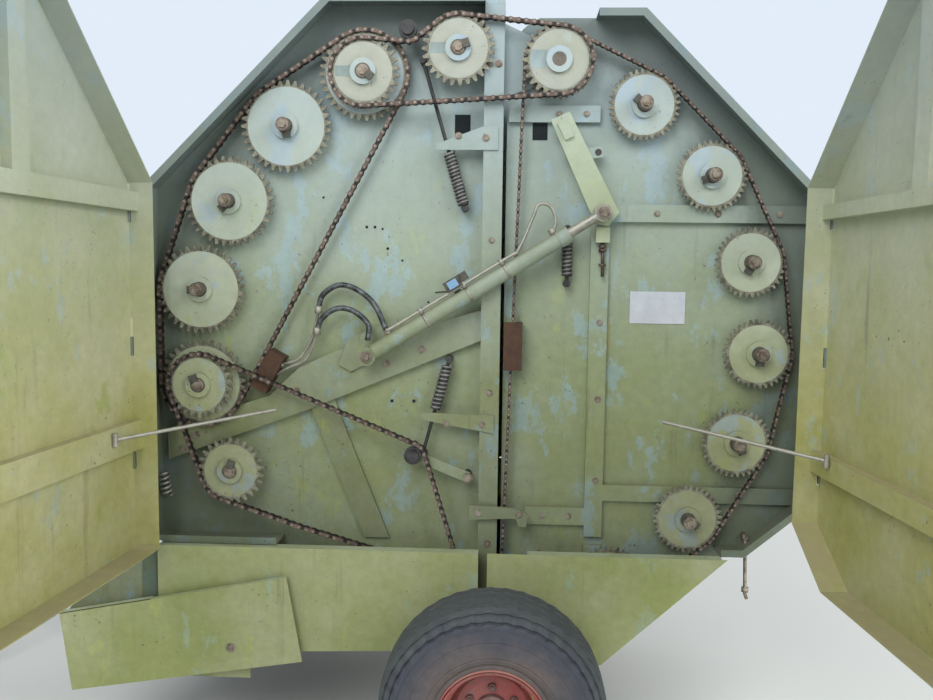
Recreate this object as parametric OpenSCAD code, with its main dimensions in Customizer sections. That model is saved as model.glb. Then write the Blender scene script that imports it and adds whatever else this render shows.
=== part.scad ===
// Round baler with a fixed chamber of steel rollers, towed, on two wheels.
// Lengths are millimetres. +X runs to the rear, +Y to the machine's right, +Z up.
// Pieces are drawn round the middle of the bale chamber; from_eye() then moves
// them so that the origin is the middle of the drawbar's eye.

/* [Chamber] */
// Clear width between the side walls
chamber_w = 1200; // [1160:5:1230]
// Radius of the circle on which the rollers' axes lie
ring_r = 945; // [935:1:955]
// Diameter of a chamber roller
roller_d = 270; // [240:1:280]
// Thickness of a side wall
wall_t = 6; // [4:0.5:8]
// Depth of the drive cabinet outside each wall
cabinet_d = 112; // [108:1:118]
// Thickness of folded sheet metal
sheet_t = 3; // [2:0.5:4]

/* [Outline] */
// Distance of the body's upright edges from the rollers' circle
end_space = 152; // [147:1:157]
// Distance of the two upper slants from the rollers' circle
slant_space = 180.7; // [174:0.1:186]
// Distance of the front frame's top from the rollers' circle
front_space = 160; // [155:1:167]
// Distance of the tailgate's top from the rollers' circle
tail_space = 115; // [110:1:121]
// Distance of the walls' lower edge from the rollers' circle
low_space = 140; // [135:1:147]
// Height of the cabinet's floor above the lowest point of the rollers' circle
floor_rise = 239; // [233:1:245]
// Height of the walls' lower edge above the ground
clearance = 395; // [375:1:435]
// x of the plane where the tailgate meets the front frame
split_x = 94; // [92:1:97]

/* [Drive] */
// Pitch of the front chains
front_pitch = 25.4; // [25.4:0.1:25.5]
// Pitch of the tailgate's chain
tail_pitch = 19.05; // [19.05:0.01:19.1]
// Distance of the inner chains' plane from the wall
inner_plane = 40; // [38:1:42]
// Distance of the outer chains' plane from the wall
outer_plane = 76; // [74:1:79]
// Diameter of a roller's shaft
shaft_d = 45; // [40:1:50]

/* [Running gear] */
// Outer diameter of a tyre
tyre_d = 708; // [700:2:716]
// Width of a tyre
tyre_w = 262; // [254:2:268]
// Diameter of the rim's flange
rim_d = 338; // [330:1:344]
// Distance of the wheels' middle plane from the machine's middle
wheel_y = 948; // [940:1:956]
// x of the wheels' axle
wheel_x = 82; // [70:1:95]

/* [Hitch] */
// x of the drawbar eye's middle, ahead of the chamber
eye_x = -2560; // [-2600:5:-2520]
// Height of the drawbar eye above the ground
eye_h = 560; // [540:1:580]
// Bore of the drawbar eye
eye_bore = 51; // [50:0.5:53]

/* [Doors] */
// Depth of a door's tray
door_d = 84; // [80:1:88]
// Opening angle of the front left door in the rest pose
front_door_open = 95.3; // [94:0.1:96.5]
// Opening angle of the rear left door in the rest pose
rear_door_open = 94.1; // [93:0.1:95]

/* [Hidden] */
$fn = 48;
// Angles of the front rollers and of the tailgate's rollers, from +X
front_angles = [93.8, 113.2, 132.3, 151.5, 170.6, 190.2, 209.2];
tail_angles = [73.9, 54.9, 35.4, 16.4, -2.1, -20.8, -39.4];
low_angle = 264;
body_x = ring_r + end_space;
slant_sum = (ring_r + slant_space) * sqrt(2);
front_top = ring_r + front_space;
tail_top = ring_r + tail_space;
bottom = ring_r + low_space;
cabinet_floor = ring_r - floor_rise;
chamber_z = bottom + clearance;
low_corner = bottom - 540;
half_w = chamber_w / 2;
wall_y = half_w + wall_t;
inner_y = wall_y + inner_plane;
outer_y = wall_y + outer_plane;
lip_y = wall_y + cabinet_d;
skin_y = lip_y + door_d + 6;
eye_z = eye_h - chamber_z;
gap = 0.3;
roller_len = chamber_w - 2 * 6;
post_w = 64;
post_x = 54;
tail_x = split_x + 4;
lip_start = 384;
front_teeth = 35;
tail_teeth = 36;
front_sprocket_r = front_pitch / 2 / sin(180 / front_teeth);
tail_sprocket_r = tail_pitch / 2 / sin(180 / tail_teeth);
small_sprocket_r = 104;
large_sprocket_r = 108;
hinge_x = body_x + 9;
door_floor = cabinet_floor - 8;
drop_x = body_x - (bottom - low_corner) / 0.848;
tail_low = [body_x, -low_corner];

function ring(a, r = ring_r) = [r * cos(a), r * sin(a)];
// Offset of a closed outline's slanted upper corner at half length x
function slant_z(x) = slant_sum - abs(x);

// Moves the part from the chamber's middle to the drawbar's eye
module from_eye() {
    translate([-eye_x, 0, -eye_z]) children();
}

// Stands an outline drawn in x and z on the plane y, t thick towards +Y
module upright(y, t) {
    translate([0, y + t, 0]) rotate([90, 0, 0]) linear_extrude(t) children();
}

// Repeats on both sides
module both_sides() {
    children();
    mirror([0, 1, 0]) children();
}

// A round bar from a to b
module bar(a, b, d) {
    v = b - a;
    n = norm(v);
    turn = acos(v[2] / n);
    az = atan2(v[1], v[0]);
    translate(a) rotate([0, turn, az]) cylinder(h = n, d = d);
}

// A square tube or flat bar w wide and t deep between two points of one x z plane
module strut(a, b, y, w, t) {
    v = b - a;
    translate([a[0], y, a[1]]) rotate([0, -atan2(v[1], v[0]), 0])
        translate([0, 0, -w / 2]) cube([norm(v), t, w]);
}

// Outline of the front frame's wall
module front_outline(inset = 0) {
    x = body_x - inset;
    s = slant_sum - inset * sqrt(2);
    t = front_top - inset;
    polygon([[post_x, front_top - 17], [post_x - 33, front_top - 17], [post_x - 33, t],
        [t - s, t], [-x, s - x], [-x, -cabinet_floor + 16], [-body_x + 97, -cabinet_floor - 12],
        [-body_x + 397, -bottom + 285], [-body_x + 537, -bottom + 125], [-body_x + 697, -bottom + 25],
        [-body_x + 897, -bottom + inset], [post_x, -bottom + inset]]);
}

// Outline of the tailgate's wall
module tail_outline(inset = 0) {
    x = body_x - inset;
    s = slant_sum - inset * sqrt(2);
    t = tail_top - inset;
    polygon([[tail_x, t], [s - t, t], [x, s - x], [x, tail_low[1] + inset * 0.3],
        [drop_x - inset * 0.6, -bottom + inset], [tail_x, -bottom + inset]]);
}

tail_hinge = ring(tail_angles[0]);
low_roller = ring(low_angle);
tail_low_angles = [-60, -acos((tail_x + 111.4) / ring_r)];
low_tail = ring(tail_low_angles[0]);
last_tail = ring(tail_low_angles[1]);
all_tail_angles = concat(tail_angles, tail_low_angles);
front_all = concat(front_angles, [low_angle]);
paint = "#9aa25a";
rust = "#6b4a33";
steel = "#8d8f90";
dark = "#33302c";

// Bearing housings and shaft bores of a wall, cut for the shafts at the given angles
module bearing_wall(angles) {
    difference() {
        union() {
            children();
            for (a = angles)
                translate([ring(a)[0], -wall_y - 18, ring(a)[1]]) rotate([-90, 0, 0])
                    cylinder(h = 18 + wall_t / 2, d = 118);
        }
        for (a = angles)
            translate([ring(a)[0], -wall_y - 30, ring(a)[1]]) rotate([-90, 0, 0])
                cylinder(h = 30 + wall_t + 2, d = shaft_d + 2 * gap);
    }
}

// Cabinet part of an outline, above the cabinet's floor
module cabinet_area(x0, x1, down = 0) {
    intersection() {
        children();
        translate([x0, -cabinet_floor - down]) square([x1 - x0, 3000]);
    }
}

// Wall of the front frame with its folded cabinet edge, on the left
module front_wall() {
    bearing_wall(front_all) {
        upright(-wall_y, wall_t) front_outline();
        upright(-lip_y, cabinet_d) difference() {
            cabinet_area(-body_x, post_x - post_w / 2 - gap) front_outline();
            cabinet_area(-body_x, post_x - 20, -sheet_t * 1.6) front_outline(sheet_t * 1.6);
        }
        upright(-lip_y, sheet_t) difference() {
            cabinet_area(-body_x, post_x - post_w / 2 - gap) front_outline();
            cabinet_area(-body_x, post_x - 20, -24) front_outline(24);
        }
    }
}
module floor_slot(x0, x1) {
    difference() {
        children();
        translate([x0, -lip_y - 1, -cabinet_floor - 1]) cube([x1 - x0, cabinet_d + 0.5, 30]);
    }
}

// Ribs welded on the tailgate's wall: [x from, x to, z from, z to]
rib_d = 20;
tail_ribs = [[lip_start, 445, -cabinet_floor - 27, 454], [440, body_x - 8, 397, 454],
    [440, body_x - 8, -low_corner - 5, -low_corner + 50],
    [180, 386, -cabinet_floor + 68, -cabinet_floor + 129],
    [tail_x + 6, 405, tail_hinge[1] - 187, tail_hinge[1] - 133]];

// Wall of the tailgate with its folded cabinet edge, on the left
module tail_wall() {
    difference() {
        bearing_wall(all_tail_angles) {
            upright(-wall_y, wall_t) tail_outline();
            for (r = tail_ribs)
                translate([r[0], -wall_y - rib_d, r[2]]) cube([r[1] - r[0], rib_d + 1, r[3] - r[2]]);
            upright(-lip_y, cabinet_d) difference() {
                cabinet_area(lip_start, body_x) tail_outline();
                cabinet_area(tail_x, body_x, -sheet_t * 1.6) tail_outline(sheet_t * 1.6);
            }
            upright(-lip_y, sheet_t) difference() {
                cabinet_area(lip_start, body_x) tail_outline();
                cabinet_area(tail_x, body_x, -24) tail_outline(24);
            }
        }
        translate([tail_hinge[0] - 300, -wall_y - 30, tail_hinge[1]]) difference() {
            cube([300, 60, 400]);
            translate([300, -1, 0]) rotate([-90, 0, 0])
                cylinder(h = 62, r = tail_hinge[0] - tail_x, $fn = 96);
        }
        translate([tail_hinge[0], -wall_y - 30, tail_hinge[1]]) rotate([-90, 0, 0])
            cylinder(h = 30, d = 124);
    }
}

// Posts, cross tubes and the arms that carry the tailgate's hinge
post_d = 54;
arm_t = 12;
arm_y = wall_y + 5;
pick_pivot = [-body_x + 417, -bottom + 185];
pivot_d = 24;
ear_y = half_w - 32;
ear_t = 8;
beam_x = -body_x + 29;
low_sheet = low_roller[0] - 161 - pick_pivot[0];
beam_z = -cabinet_floor + 6;
module main_frame() {
    color(paint) {
        both_sides() {
            translate([post_x - post_w / 2, -wall_y - post_d - gap, -bottom])
                cube([post_w, post_d, bottom + front_top - 16]);
            difference() {
                union() {
                    upright(-arm_y - arm_t, arm_t) translate([0, tail_hinge[1]]) polygon([
                        [post_x + post_w / 2 - 4, -108], [tail_hinge[0] - 30, -58],
                        [tail_hinge[0] - 40, 67], [post_x + post_w / 2 - 4, 132]]);
                    translate([tail_hinge[0], -arm_y - arm_t, tail_hinge[1]]) rotate([-90, 0, 0])
                        cylinder(h = arm_t, d = 150);
                }
                translate([tail_hinge[0], -arm_y - 40, tail_hinge[1]]) rotate([-90, 0, 0])
                    cylinder(h = 60, d = shaft_d + 2 * gap);
            }
        }
        translate([post_x - post_w / 2, -wall_y - post_d - gap, front_top - 16 + gap])
            cube([post_w, 2 * (wall_y + post_d + gap), 70]);
        translate([pick_pivot[0] + 120, -half_w + gap, pick_pivot[1] - 30])
            cube([60, chamber_w - 2 * gap, 60]);
        translate([beam_x, -half_w + gap, beam_z]) cube([58, chamber_w - 2 * gap, 60]);
        translate([pick_pivot[0], half_w - gap, pick_pivot[1]]) rotate([90, 0, 0])
            linear_extrude(chamber_w - 2 * gap) polygon([[-10, 100], [120, 30], [low_sheet, 30],
                [low_sheet, 34], [122, 34], [-8, 104]]);
        both_sides() translate([pick_pivot[0], 0, pick_pivot[1]]) difference() {
            upright(-ear_y, ear_t) translate([-26, -30]) square([206, 58]);
            rotate([90, 0, 0]) cylinder(h = half_w, d = pivot_d + 2 * gap);
        }
    }
}

// Beams, braces and brackets bolted to the outside of the left front wall
beam_t = 26;
module side_beams() {
    y = -wall_y - gap - beam_t;
    color(paint) {
        upright(y, beam_t) polygon([[-body_x + 37, -438], [-560, -250], [22, -6], [22, 96],
            s12 + [493, 133], s12 + [330, 59], s12 + [230, -38], [-body_x + 37, -330]]);
        upright(-wall_y - gap - 14, 14) polygon([[-516, -362], [-436, -334], [-288, -cabinet_floor + 5],
            [-374, -cabinet_floor + 5]]);
        upright(-wall_y - post_d - 2 * gap - 6, 6) polygon([[-180, -250], [70, -256], [70, -318],
            [-163, -277]]);
        upright(-wall_y - post_d - 2 * gap - 6, 6) polygon([[-137, 640], [22, 700], [70, 700],
            [70, 624], [-131, 623]]);
    }
}

// Axle beam with its spindles and the plates that carry the frame
axle_z = -(chamber_z - tyre_d / 2);
axle_w = 70;
hub_y = wheel_y - 46;
module axle() {
    color(dark) difference() {
        union() {
            translate([wheel_x - axle_w / 2, -hub_y + 60, axle_z - axle_w / 2])
                cube([axle_w, 2 * (hub_y - 60), axle_w]);
            both_sides() {
                translate([wheel_x, -wheel_y - 62, axle_z]) rotate([-90, 0, 0])
                    cylinder(h = 200, d = 50);
                translate([wheel_x, -hub_y + 20, axle_z]) rotate([-90, 0, 0])
                    cylinder(h = 45, d = 76);
                translate([post_x - post_w / 2, -wall_y - post_d - gap, axle_z + axle_w / 2 - 2])
                    cube([post_w, post_d + 40, -bottom - axle_z - axle_w / 2 + 2 - gap]);
            }
        }
    }
}

// Side skirt of the front frame and its stay, on the left
skirt_y = lip_y + 26;
skirt_x = -body_x + 37;
skirt_top = -cabinet_floor - 2;
module skirt_front() {
    upright(-skirt_y, sheet_t) polygon([[skirt_x, skirt_top], [26, skirt_top], [28, -bottom + 43],
        [skirt_x, -bottom]]);
    translate([skirt_x, -skirt_y, skirt_top - 4])
        cube([26 - skirt_x, skirt_y - lip_y + 18, sheet_t]);
    for (x = [skirt_x + 360, skirt_x + 620])
        translate([x, -skirt_y + 2, skirt_top - 72]) cube([40, skirt_y - wall_y - 2 - gap, 6]);
}

// Side skirt of the tailgate, on the left
module skirt_rear() {
    upright(-skirt_y, sheet_t) polygon([[56, skirt_top], [body_x - 251, skirt_top],
        [body_x - 657, -bottom + 5], [56, -bottom + 43]]);
    translate([190, -skirt_y, skirt_top - 4]) cube([body_x - 457, skirt_y - lip_y + 18, sheet_t]);
    for (p = [(low_tail + last_tail) / 2 + [-15, 10], low_tail + [166, -50]])
        translate([p[0], -skirt_y + 2, p[1]]) cube([30, skirt_y - wall_y - 2 - gap, 6]);
}

// Crop hood and front sheets between the walls, over and under the pickup's mouth
module front_sheet() {
    color(paint) difference() {
        translate([0, half_w - gap, 0]) rotate([90, 0, 0]) linear_extrude(chamber_w - 2 * gap)
            difference() {
                front_outline(2);
                front_outline(2 + sheet_t);
                translate([-2 * body_x, -2 * body_x]) square([4 * body_x, 2 * body_x - 540]);
                translate([post_x - 120, -2 * body_x]) square([400, 4 * body_x]);
            }
    }
}

// Chamber rollers of one half, with their shafts through both walls
module rollers(angles) {
    for (a = angles)
        translate([ring(a)[0], 0, ring(a)[1]]) rotate([90, 0, 0]) {
            cylinder(h = roller_len, d = roller_d, center = true);
            translate([0, 0, -wall_y - 34]) cylinder(h = wall_y + outer_y + 52, d = shaft_d);
        }
}

// A chain wheel on its hub, at distance y from the machine's middle
module sprocket(p, y, r, hub_d = 84, hub_w = 34) {
    color(paint) translate([p[0], -y, p[1]]) rotate([90, 0, 0]) difference() {
        union() {
            cylinder(h = 8, r = r - 13, center = true);
            cylinder(h = hub_w, d = hub_d, center = true);
        }
        cylinder(h = hub_w + 2, d = shaft_d + 2 * gap, center = true);
    }
}

// Chain loops: circles [x, z, radius] in turn, negative where the chain bends outwards
s7 = ring(front_angles[0]);
s8 = ring(front_angles[1]);
s12 = ring(front_angles[5]);
s13 = ring(front_angles[6]);
idler_r = 39;
top_idler = s7 + [-164.4, 61];
low_idler = low_roller + [-102.2, 544.8];
guide_idler = low_roller + [-141.2, 149.8];
bend_pt = s13 + (guide_idler - s13) * 0.453 + [0, 45];
loop_a = [[s8[0], s8[1], large_sprocket_r], [tail_hinge[0], tail_hinge[1], large_sprocket_r],
    [s7[0], s7[1], large_sprocket_r], [top_idler[0], top_idler[1], -idler_r]];
loop_b = [for (a = [for (i = [1:5]) front_angles[i]]) [ring(a)[0], ring(a)[1], front_sprocket_r]];
loop_c = [[s12[0], s12[1], small_sprocket_r], [s13[0], s13[1], small_sprocket_r],
    [bend_pt[0], bend_pt[1], 90], [guide_idler[0], guide_idler[1], -idler_r],
    [low_roller[0], low_roller[1], small_sprocket_r], [low_idler[0], low_idler[1], idler_r]];
loop_d = [for (a = [tail_angles[0], tail_low_angles[1], tail_low_angles[0], -39.4, -20.8, -2.1,
    16.4, 35.4, 54.9]) [ring(a)[0], ring(a)[1], tail_sprocket_r]];

function wrap(a) = a - 360 * floor(a / 360);
// Direction, from each circle's middle, of the run that leaves circle i
function leave(c, i) =
    let (p = c[i], q = c[(i + 1) % len(c)], v = [q[0] - p[0], q[1] - p[1]])
    atan2(v[1], v[0]) - 90 + asin((p[2] - q[2]) / norm(v));
// Points of the arc round circle i, off further out
function wrap_points(c, i, off) =
    let (a0 = leave(c, (i + len(c) - 1) % len(c)),
        a1 = leave(c, i),
        r = c[i][2],
        turn = r > 0 ? wrap(a1 - a0 + 0.01) - 0.01 : 0.01 - wrap(a0 - a1 + 0.01),
        steps = max(1, ceil(abs(turn) / 22)))
    [for (k = [0:steps]) let (a = a0 + turn * k / steps)
        [c[i][0] + (r + off) * cos(a), c[i][1] + (r + off) * sin(a)]];
function loop_points(c, off) = [for (i = [0:len(c) - 1]) for (p = wrap_points(c, i, off)) p];

// A chain as one band, h high and w wide
module chain(c, y, h, w) {
    color(dark) upright(-y - w / 2, w) difference() {
        polygon(loop_points(c, h / 2));
        polygon(loop_points(c, -h / 2));
    }
}
chain_h = 17;
chain_w = 22;

module front_rollers() color(steel) rollers(front_all);
module tail_rollers() color(steel) rollers(all_tail_angles);
module front_sprockets() {
    for (i = [1:5]) sprocket(ring(front_angles[i]), inner_y, front_sprocket_r);
    for (p = [s7, s8, tail_hinge]) sprocket(p, outer_y, large_sprocket_r);
    for (p = [s12, s13, low_roller]) sprocket(p, outer_y, small_sprocket_r);
}
module tail_sprockets() {
    for (a = all_tail_angles) sprocket(ring(a), inner_y, tail_sprocket_r, 84, 30);
}
module chain_top() chain(loop_a, outer_y, chain_h, chain_w);
module chain_front() chain(loop_b, inner_y, chain_h, chain_w);
module chain_low() chain(loop_c, outer_y, chain_h, chain_w);
module chain_tail() chain(loop_d, inner_y, chain_h * 0.8, chain_w * 0.8);

// Idler wheels with their arms, springs and slide blocks on the front frame
spring_y = outer_y - 34;
// A rod between two pins on the wall, with its spring from s0 to s1 along it
pin_d = 24;
module spring_link(a, b, s0, s1, d, y) {
    v = (b - a) / norm(b - a);
    translate([0, -y, 0]) {
        bar([a[0], 0, a[1]], [b[0], 0, b[1]], 12);
        bar([a[0] + v[0] * s0, 0, a[1] + v[1] * s0], [a[0] + v[0] * s1, 0, a[1] + v[1] * s1], d);
    }
    for (p = [a, b]) translate([p[0], -y - 10, p[1]]) rotate([-90, 0, 0])
        cylinder(h = y + 10 - wall_y - gap, d = pin_d);
}
// A block that presses on run i of chain loop c, its middle s along from the circle
module block_on_run(c, i, s, w, l) {
    a = leave(c, i);
    color("#5b3a26") translate([c[i][0], 0, c[i][1]]) rotate([0, -a, 0])
        translate([c[i][2] + chain_h / 2 + gap, -inner_y - 22, s - l / 2])
            cube([w, inner_y + 22 - wall_y - gap, l]);
}
module idler(p, y) {
    color(dark) translate([p[0], -y, p[1]]) rotate([90, 0, 0]) {
        cylinder(h = 16, r = idler_r - 9, center = true);
        cylinder(h = 36, d = 40, center = true);
    }
}
top_link = s7 + [-118, -28];
module front_tensioners() {
    for (p = [top_idler, low_idler, guide_idler]) {
        idler(p, outer_y);
        color(dark) translate([p[0], -outer_y, p[1]]) rotate([-90, 0, 0])
            cylinder(h = outer_y - wall_y - gap, d = 26);
    }
    color("#5b3a26") block_on_run(loop_b, 4, 150, 58, 140);
    color(paint) strut(low_idler + [11, -5], [-14, low_idler[1] - 75], -wall_y - post_d - 8, 34, 6);
    color(dark) {
        translate([-17, -wall_y - post_d - 11, low_idler[1] - 72]) rotate([-90, 0, 0])
            cylinder(h = post_d + 11 - gap, d = 26);
        spring_link([-84, -70], low_idler + [30, -1], 24, 176, 34, spring_y);
        spring_link(top_link, [-38, 436], norm(top_link - [-38, 436]) - 184.5,
            norm(top_link - [-38, 436]) - 10.5, 36, spring_y);
    }
}

// Slide block, arm and spring that tighten the tailgate's chain
// x of the tail chain's front run beside the block
tail_run = let (a = leave(loop_d, 0), c = loop_d[0])
    c[0] + c[2] * cos(a) + (22 + c[1] + c[2] * sin(a)) * tan(a);
idler_arm = tail_hinge + [38, -303];
module tail_tensioners() {
    color("#5b3a26") {
        translate([tail_run - 26, -inner_y - chain_w * 0.4 - gap - 16, -102]) cube([60, 16, 160]);
        translate([tail_run + 14, -inner_y - 20, -102])
            cube([20, inner_y + 20 - wall_y - gap, 160]);
    }
    color(paint) strut(idler_arm, idler_arm + [112, 17], -inner_y - 9, 34, 8);
    color(dark) {
        spring_link([304, 372], [306, 190], 26, 156, 34, inner_y - 6);
        for (p = [idler_arm + [16, 2], idler_arm + [98, 15]])
            translate([p[0], -inner_y - 11, p[1]]) rotate([-90, 0, 0])
                cylinder(h = inner_y + 11 - wall_y - gap, d = 22);
    }
}

// Lever arm of one side, from the tailgate's wall down to the rod's eye
eye_pt = [415, 421];
cyl_y = outer_y + 10;
arm_plate = 12;
module lever_arm() {
    upright(-cyl_y + 22, arm_plate) polygon([tail_hinge + [-22, -188], tail_hinge + [38, -160],
        eye_pt + [55, 4], eye_pt + [21, -41], eye_pt + [-23, -33]]);
    upright(-wall_y - 74, 74 - gap) translate(tail_hinge) polygon([[0, -202], [28, -190],
        [54, -240], [26, -253]]);
    translate([eye_pt[0], -cyl_y + 33, eye_pt[1]]) rotate([-90, 0, 0]) cylinder(h = 10, d = 52);
}

// Sheets and cross bars that join the tailgate's two walls
lamp_z = 120;
module tail_shell() {
    color(paint) {
        translate([0, half_w - gap, 0]) rotate([90, 0, 0]) linear_extrude(chamber_w - 2 * gap)
            difference() {
                tail_outline(2);
                tail_outline(2 + sheet_t);
                translate([tail_x - 10, -2 * body_x]) square([130, 4 * body_x]);
                translate([tail_x - 10, -2 * body_x]) square([900, 2 * body_x - bottom + 205]);
            }
        for (p = [[470, tail_top - 40], [body_x - 51, 470], [body_x - 51, -low_corner + 45],
            low_tail + [167.5, -61.6]])
            translate([p[0] - 18, -half_w + gap, p[1] - 18]) cube([36, chamber_w - 2 * gap, 36]);
    }
}

// Tail lamps on their brackets behind the rear sheet
module tail_lamps() {
    both_sides() {
        color(dark) translate([body_x - 2 + gap, -560, lamp_z - 80]) cube([26, 130, 160]);
        color("#a02018") translate([body_x + 24 + 2 * gap, -552, lamp_z - 10]) cube([22, 114, 82]);
        color("#d07a20") translate([body_x + 24 + 2 * gap, -552, lamp_z - 72]) cube([22, 114, 56]);
    }
}

// Front cylinder pivot, barrel and rod of the tailgate's left cylinder
cyl_pivot = [-357, -60];
cyl_v = [eye_pt[0] - cyl_pivot[0], eye_pt[1] - cyl_pivot[1]];
cyl_len = norm(cyl_v);
cyl_a = atan2(cyl_v[1], cyl_v[0]);
barrel_d = 52;
rod_d = 32;
barrel_end = cyl_len - 128;
module along_cylinder() {
    translate([cyl_pivot[0], -cyl_y, cyl_pivot[1]]) rotate([0, 90 - cyl_a, 0]) children();
}
module cylinder_mount() {
    y = wall_y + gap + beam_t;
    color(paint) upright(-y - gap - 10, 10) polygon([[-462, -96], [-428, -6], [-262, 62],
        [-240, -30], [-420, -118]]);
    color(dark) translate([cyl_pivot[0], -cyl_y - 22, cyl_pivot[1]]) rotate([-90, 0, 0])
        cylinder(h = cyl_y + 22 - y - gap - 5, d = 28);
}
module barrel() {
    color(paint) along_cylinder() difference() {
        union() {
            translate([0, 0, 30]) cylinder(h = barrel_end - 30, d = barrel_d);
            translate([0, 0, barrel_end - 40]) cylinder(h = 40, d = barrel_d + 6);
            translate([0, 14, 0]) rotate([90, 0, 0]) cylinder(h = 28, d = 62);
            translate([-20, -14, 0]) cube([40, 28, 36]);
        }
        translate([0, 20, 0]) rotate([90, 0, 0]) cylinder(h = 40, d = 28 + 2 * gap);
        translate([0, 0, 60]) cylinder(h = barrel_end, d = rod_d + 2 * gap);
    }
}
module rod() {
    color("#c9cbcc") along_cylinder() {
        translate([0, 0, 70]) cylinder(h = cyl_len - 70 - 24, d = rod_d);
        translate([0, 14, cyl_len]) rotate([90, 0, 0]) cylinder(h = 28, d = 58);
        translate([0, 22 - gap, cyl_len]) rotate([90, 0, 0]) cylinder(h = 42 - gap, d = 30);
    }
}

// A door as a tray: skin, turned edges and stiffening ribs, in its closed place
rib_t = 34;
module door_tray(ribs) {
    y0 = -skin_y;
    upright(y0, sheet_t) children(0);
    upright(y0, door_d) difference() {
        children(0);
        children(1);
    }
    for (r = ribs)
        upright(y0 + 1, rib_t) intersection() {
            children(1);
            translate([-3000, r[0]]) square([6000, r[1] - r[0]]);
        }
}
module front_door_area(i = 0) {
    x = hinge_x - i;
    s = slant_sum + 9 - i * sqrt(2);
    t = front_top - 4 - i;
    polygon([[tail_x - 44 - i, t], [t - s, t], [-x, s - x], [-x, -cabinet_floor + 16 + i],
        [-x + 30, -door_floor + i], [tail_x - 44 - i, -door_floor + i]]);
}
module rear_door_area(i = 0) {
    x = hinge_x - i;
    s = slant_sum + 9 - i * sqrt(2);
    t = tail_top - i;
    difference() {
        rear_door_outline(i, x, s, t);
        translate(tail_hinge) difference() {
            translate([-500, 0]) square([500, 500]);
            circle(r = 198 - i, $fn = 96);
        }
    }
}
module rear_door_outline(i, x, s, t) {
    polygon([[tail_x - 36 + i, t], [s - t, t], [x, s - x], [x, tail_low[1] - 10 + i * 0.4],
        [body_x - 215 - i * 0.7, -door_floor + i], [tail_x - 36 + i, -door_floor + i]]);
}
front_door_ribs = [[404, 464], [-362, -267]];
rear_door_ribs = [[398, 441], [-388, -322]];
// Door with its half of the hinges at corner line x: knuckles on the skin's corner
knuckle_d = 16;
knuckle_h = 60;
hinge_zs = [-cabinet_floor + 276, -60, 370];
rear_hinge_zs = hinge_zs;
module hinged(x, zs) {
    difference() {
        union() {
            children();
            for (z = zs) translate([x, -skin_y, z + knuckle_h + 2])
                cylinder(h = knuckle_h, d = knuckle_d);
        }
        for (z = zs) translate([x, -skin_y, z - 2]) {
            cylinder(h = knuckle_h + 4, d = knuckle_d + 6);
            cylinder(h = 2 * knuckle_h + 8, d = 8 + 2 * gap);
        }
    }
}
module front_door() {
    hinged(-hinge_x, hinge_zs) door_tray(front_door_ribs) {
        front_door_area();
        front_door_area(sheet_t);
    }
}
module rear_door() {
    hinged(hinge_x, rear_hinge_zs) door_tray(rear_door_ribs) {
        rear_door_area();
        rear_door_area(sheet_t);
    }
}
// Turns a left door about its hinge line, a degrees open
module open_front(a) {
    translate([-hinge_x, -skin_y, 0]) rotate([0, 0, -a]) translate([hinge_x, skin_y, 0]) children();
}
module open_rear(a) {
    translate([hinge_x, -skin_y, 0]) rotate([0, 0, a]) translate([-hinge_x, skin_y, 0]) children();
}
// Hinge lugs on the cabinet's edge that hold a door's pins at its outer corner
module hinge_lugs(side, zs) {
    for (z = zs) translate([side * hinge_x, 0, z]) mirror([side < 0 ? 1 : 0, 0, 0]) {
        translate([0, -skin_y, 0]) cylinder(h = knuckle_h, d = knuckle_d);
        translate([0, -skin_y, 0]) cylinder(h = 2 * knuckle_h, d = 8);
        translate([2, -skin_y, 0]) cube([6, skin_y - lip_y + 26, knuckle_h]);
        translate([body_x - hinge_x + gap, -lip_y + 14, 0]) cube([10, 12, knuckle_h]);
    }
}

// Stay rod of a door, from its pivot on the door to the hook on the machine
stay_d = 12;
front_stay_u = 187;
front_stay_z = -300;
rear_stay_u = 140;
rear_stay_z = -326;
function front_on_door(u, a) = [-hinge_x + u * cos(a), -skin_y - u * sin(a)];
function rear_on_door(u, a) = [hinge_x - u * cos(a), -skin_y - u * sin(a)];
stay_eye_d = 18;
stay_in = rib_t + 1 + stay_eye_d / 2 + gap;
front_stay_pt = [front_on_door(front_stay_u, front_door_open)[0] + stay_in,
    front_on_door(front_stay_u, front_door_open)[1]];
rear_stay_pt = [rear_on_door(rear_stay_u, rear_door_open)[0] - stay_in,
    rear_on_door(rear_stay_u, rear_door_open)[1]];
front_stay_end = [-665, -wall_y - 94, -246];
rear_stay_end = [632, -wall_y - 84, -262];
module stay(p, z, end) {
    color("#a9a79c") {
        bar([p[0], p[1], z], end, stay_d);
        translate([p[0], p[1], z - 20]) cylinder(h = 40, d = stay_eye_d);
    }
}

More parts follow.
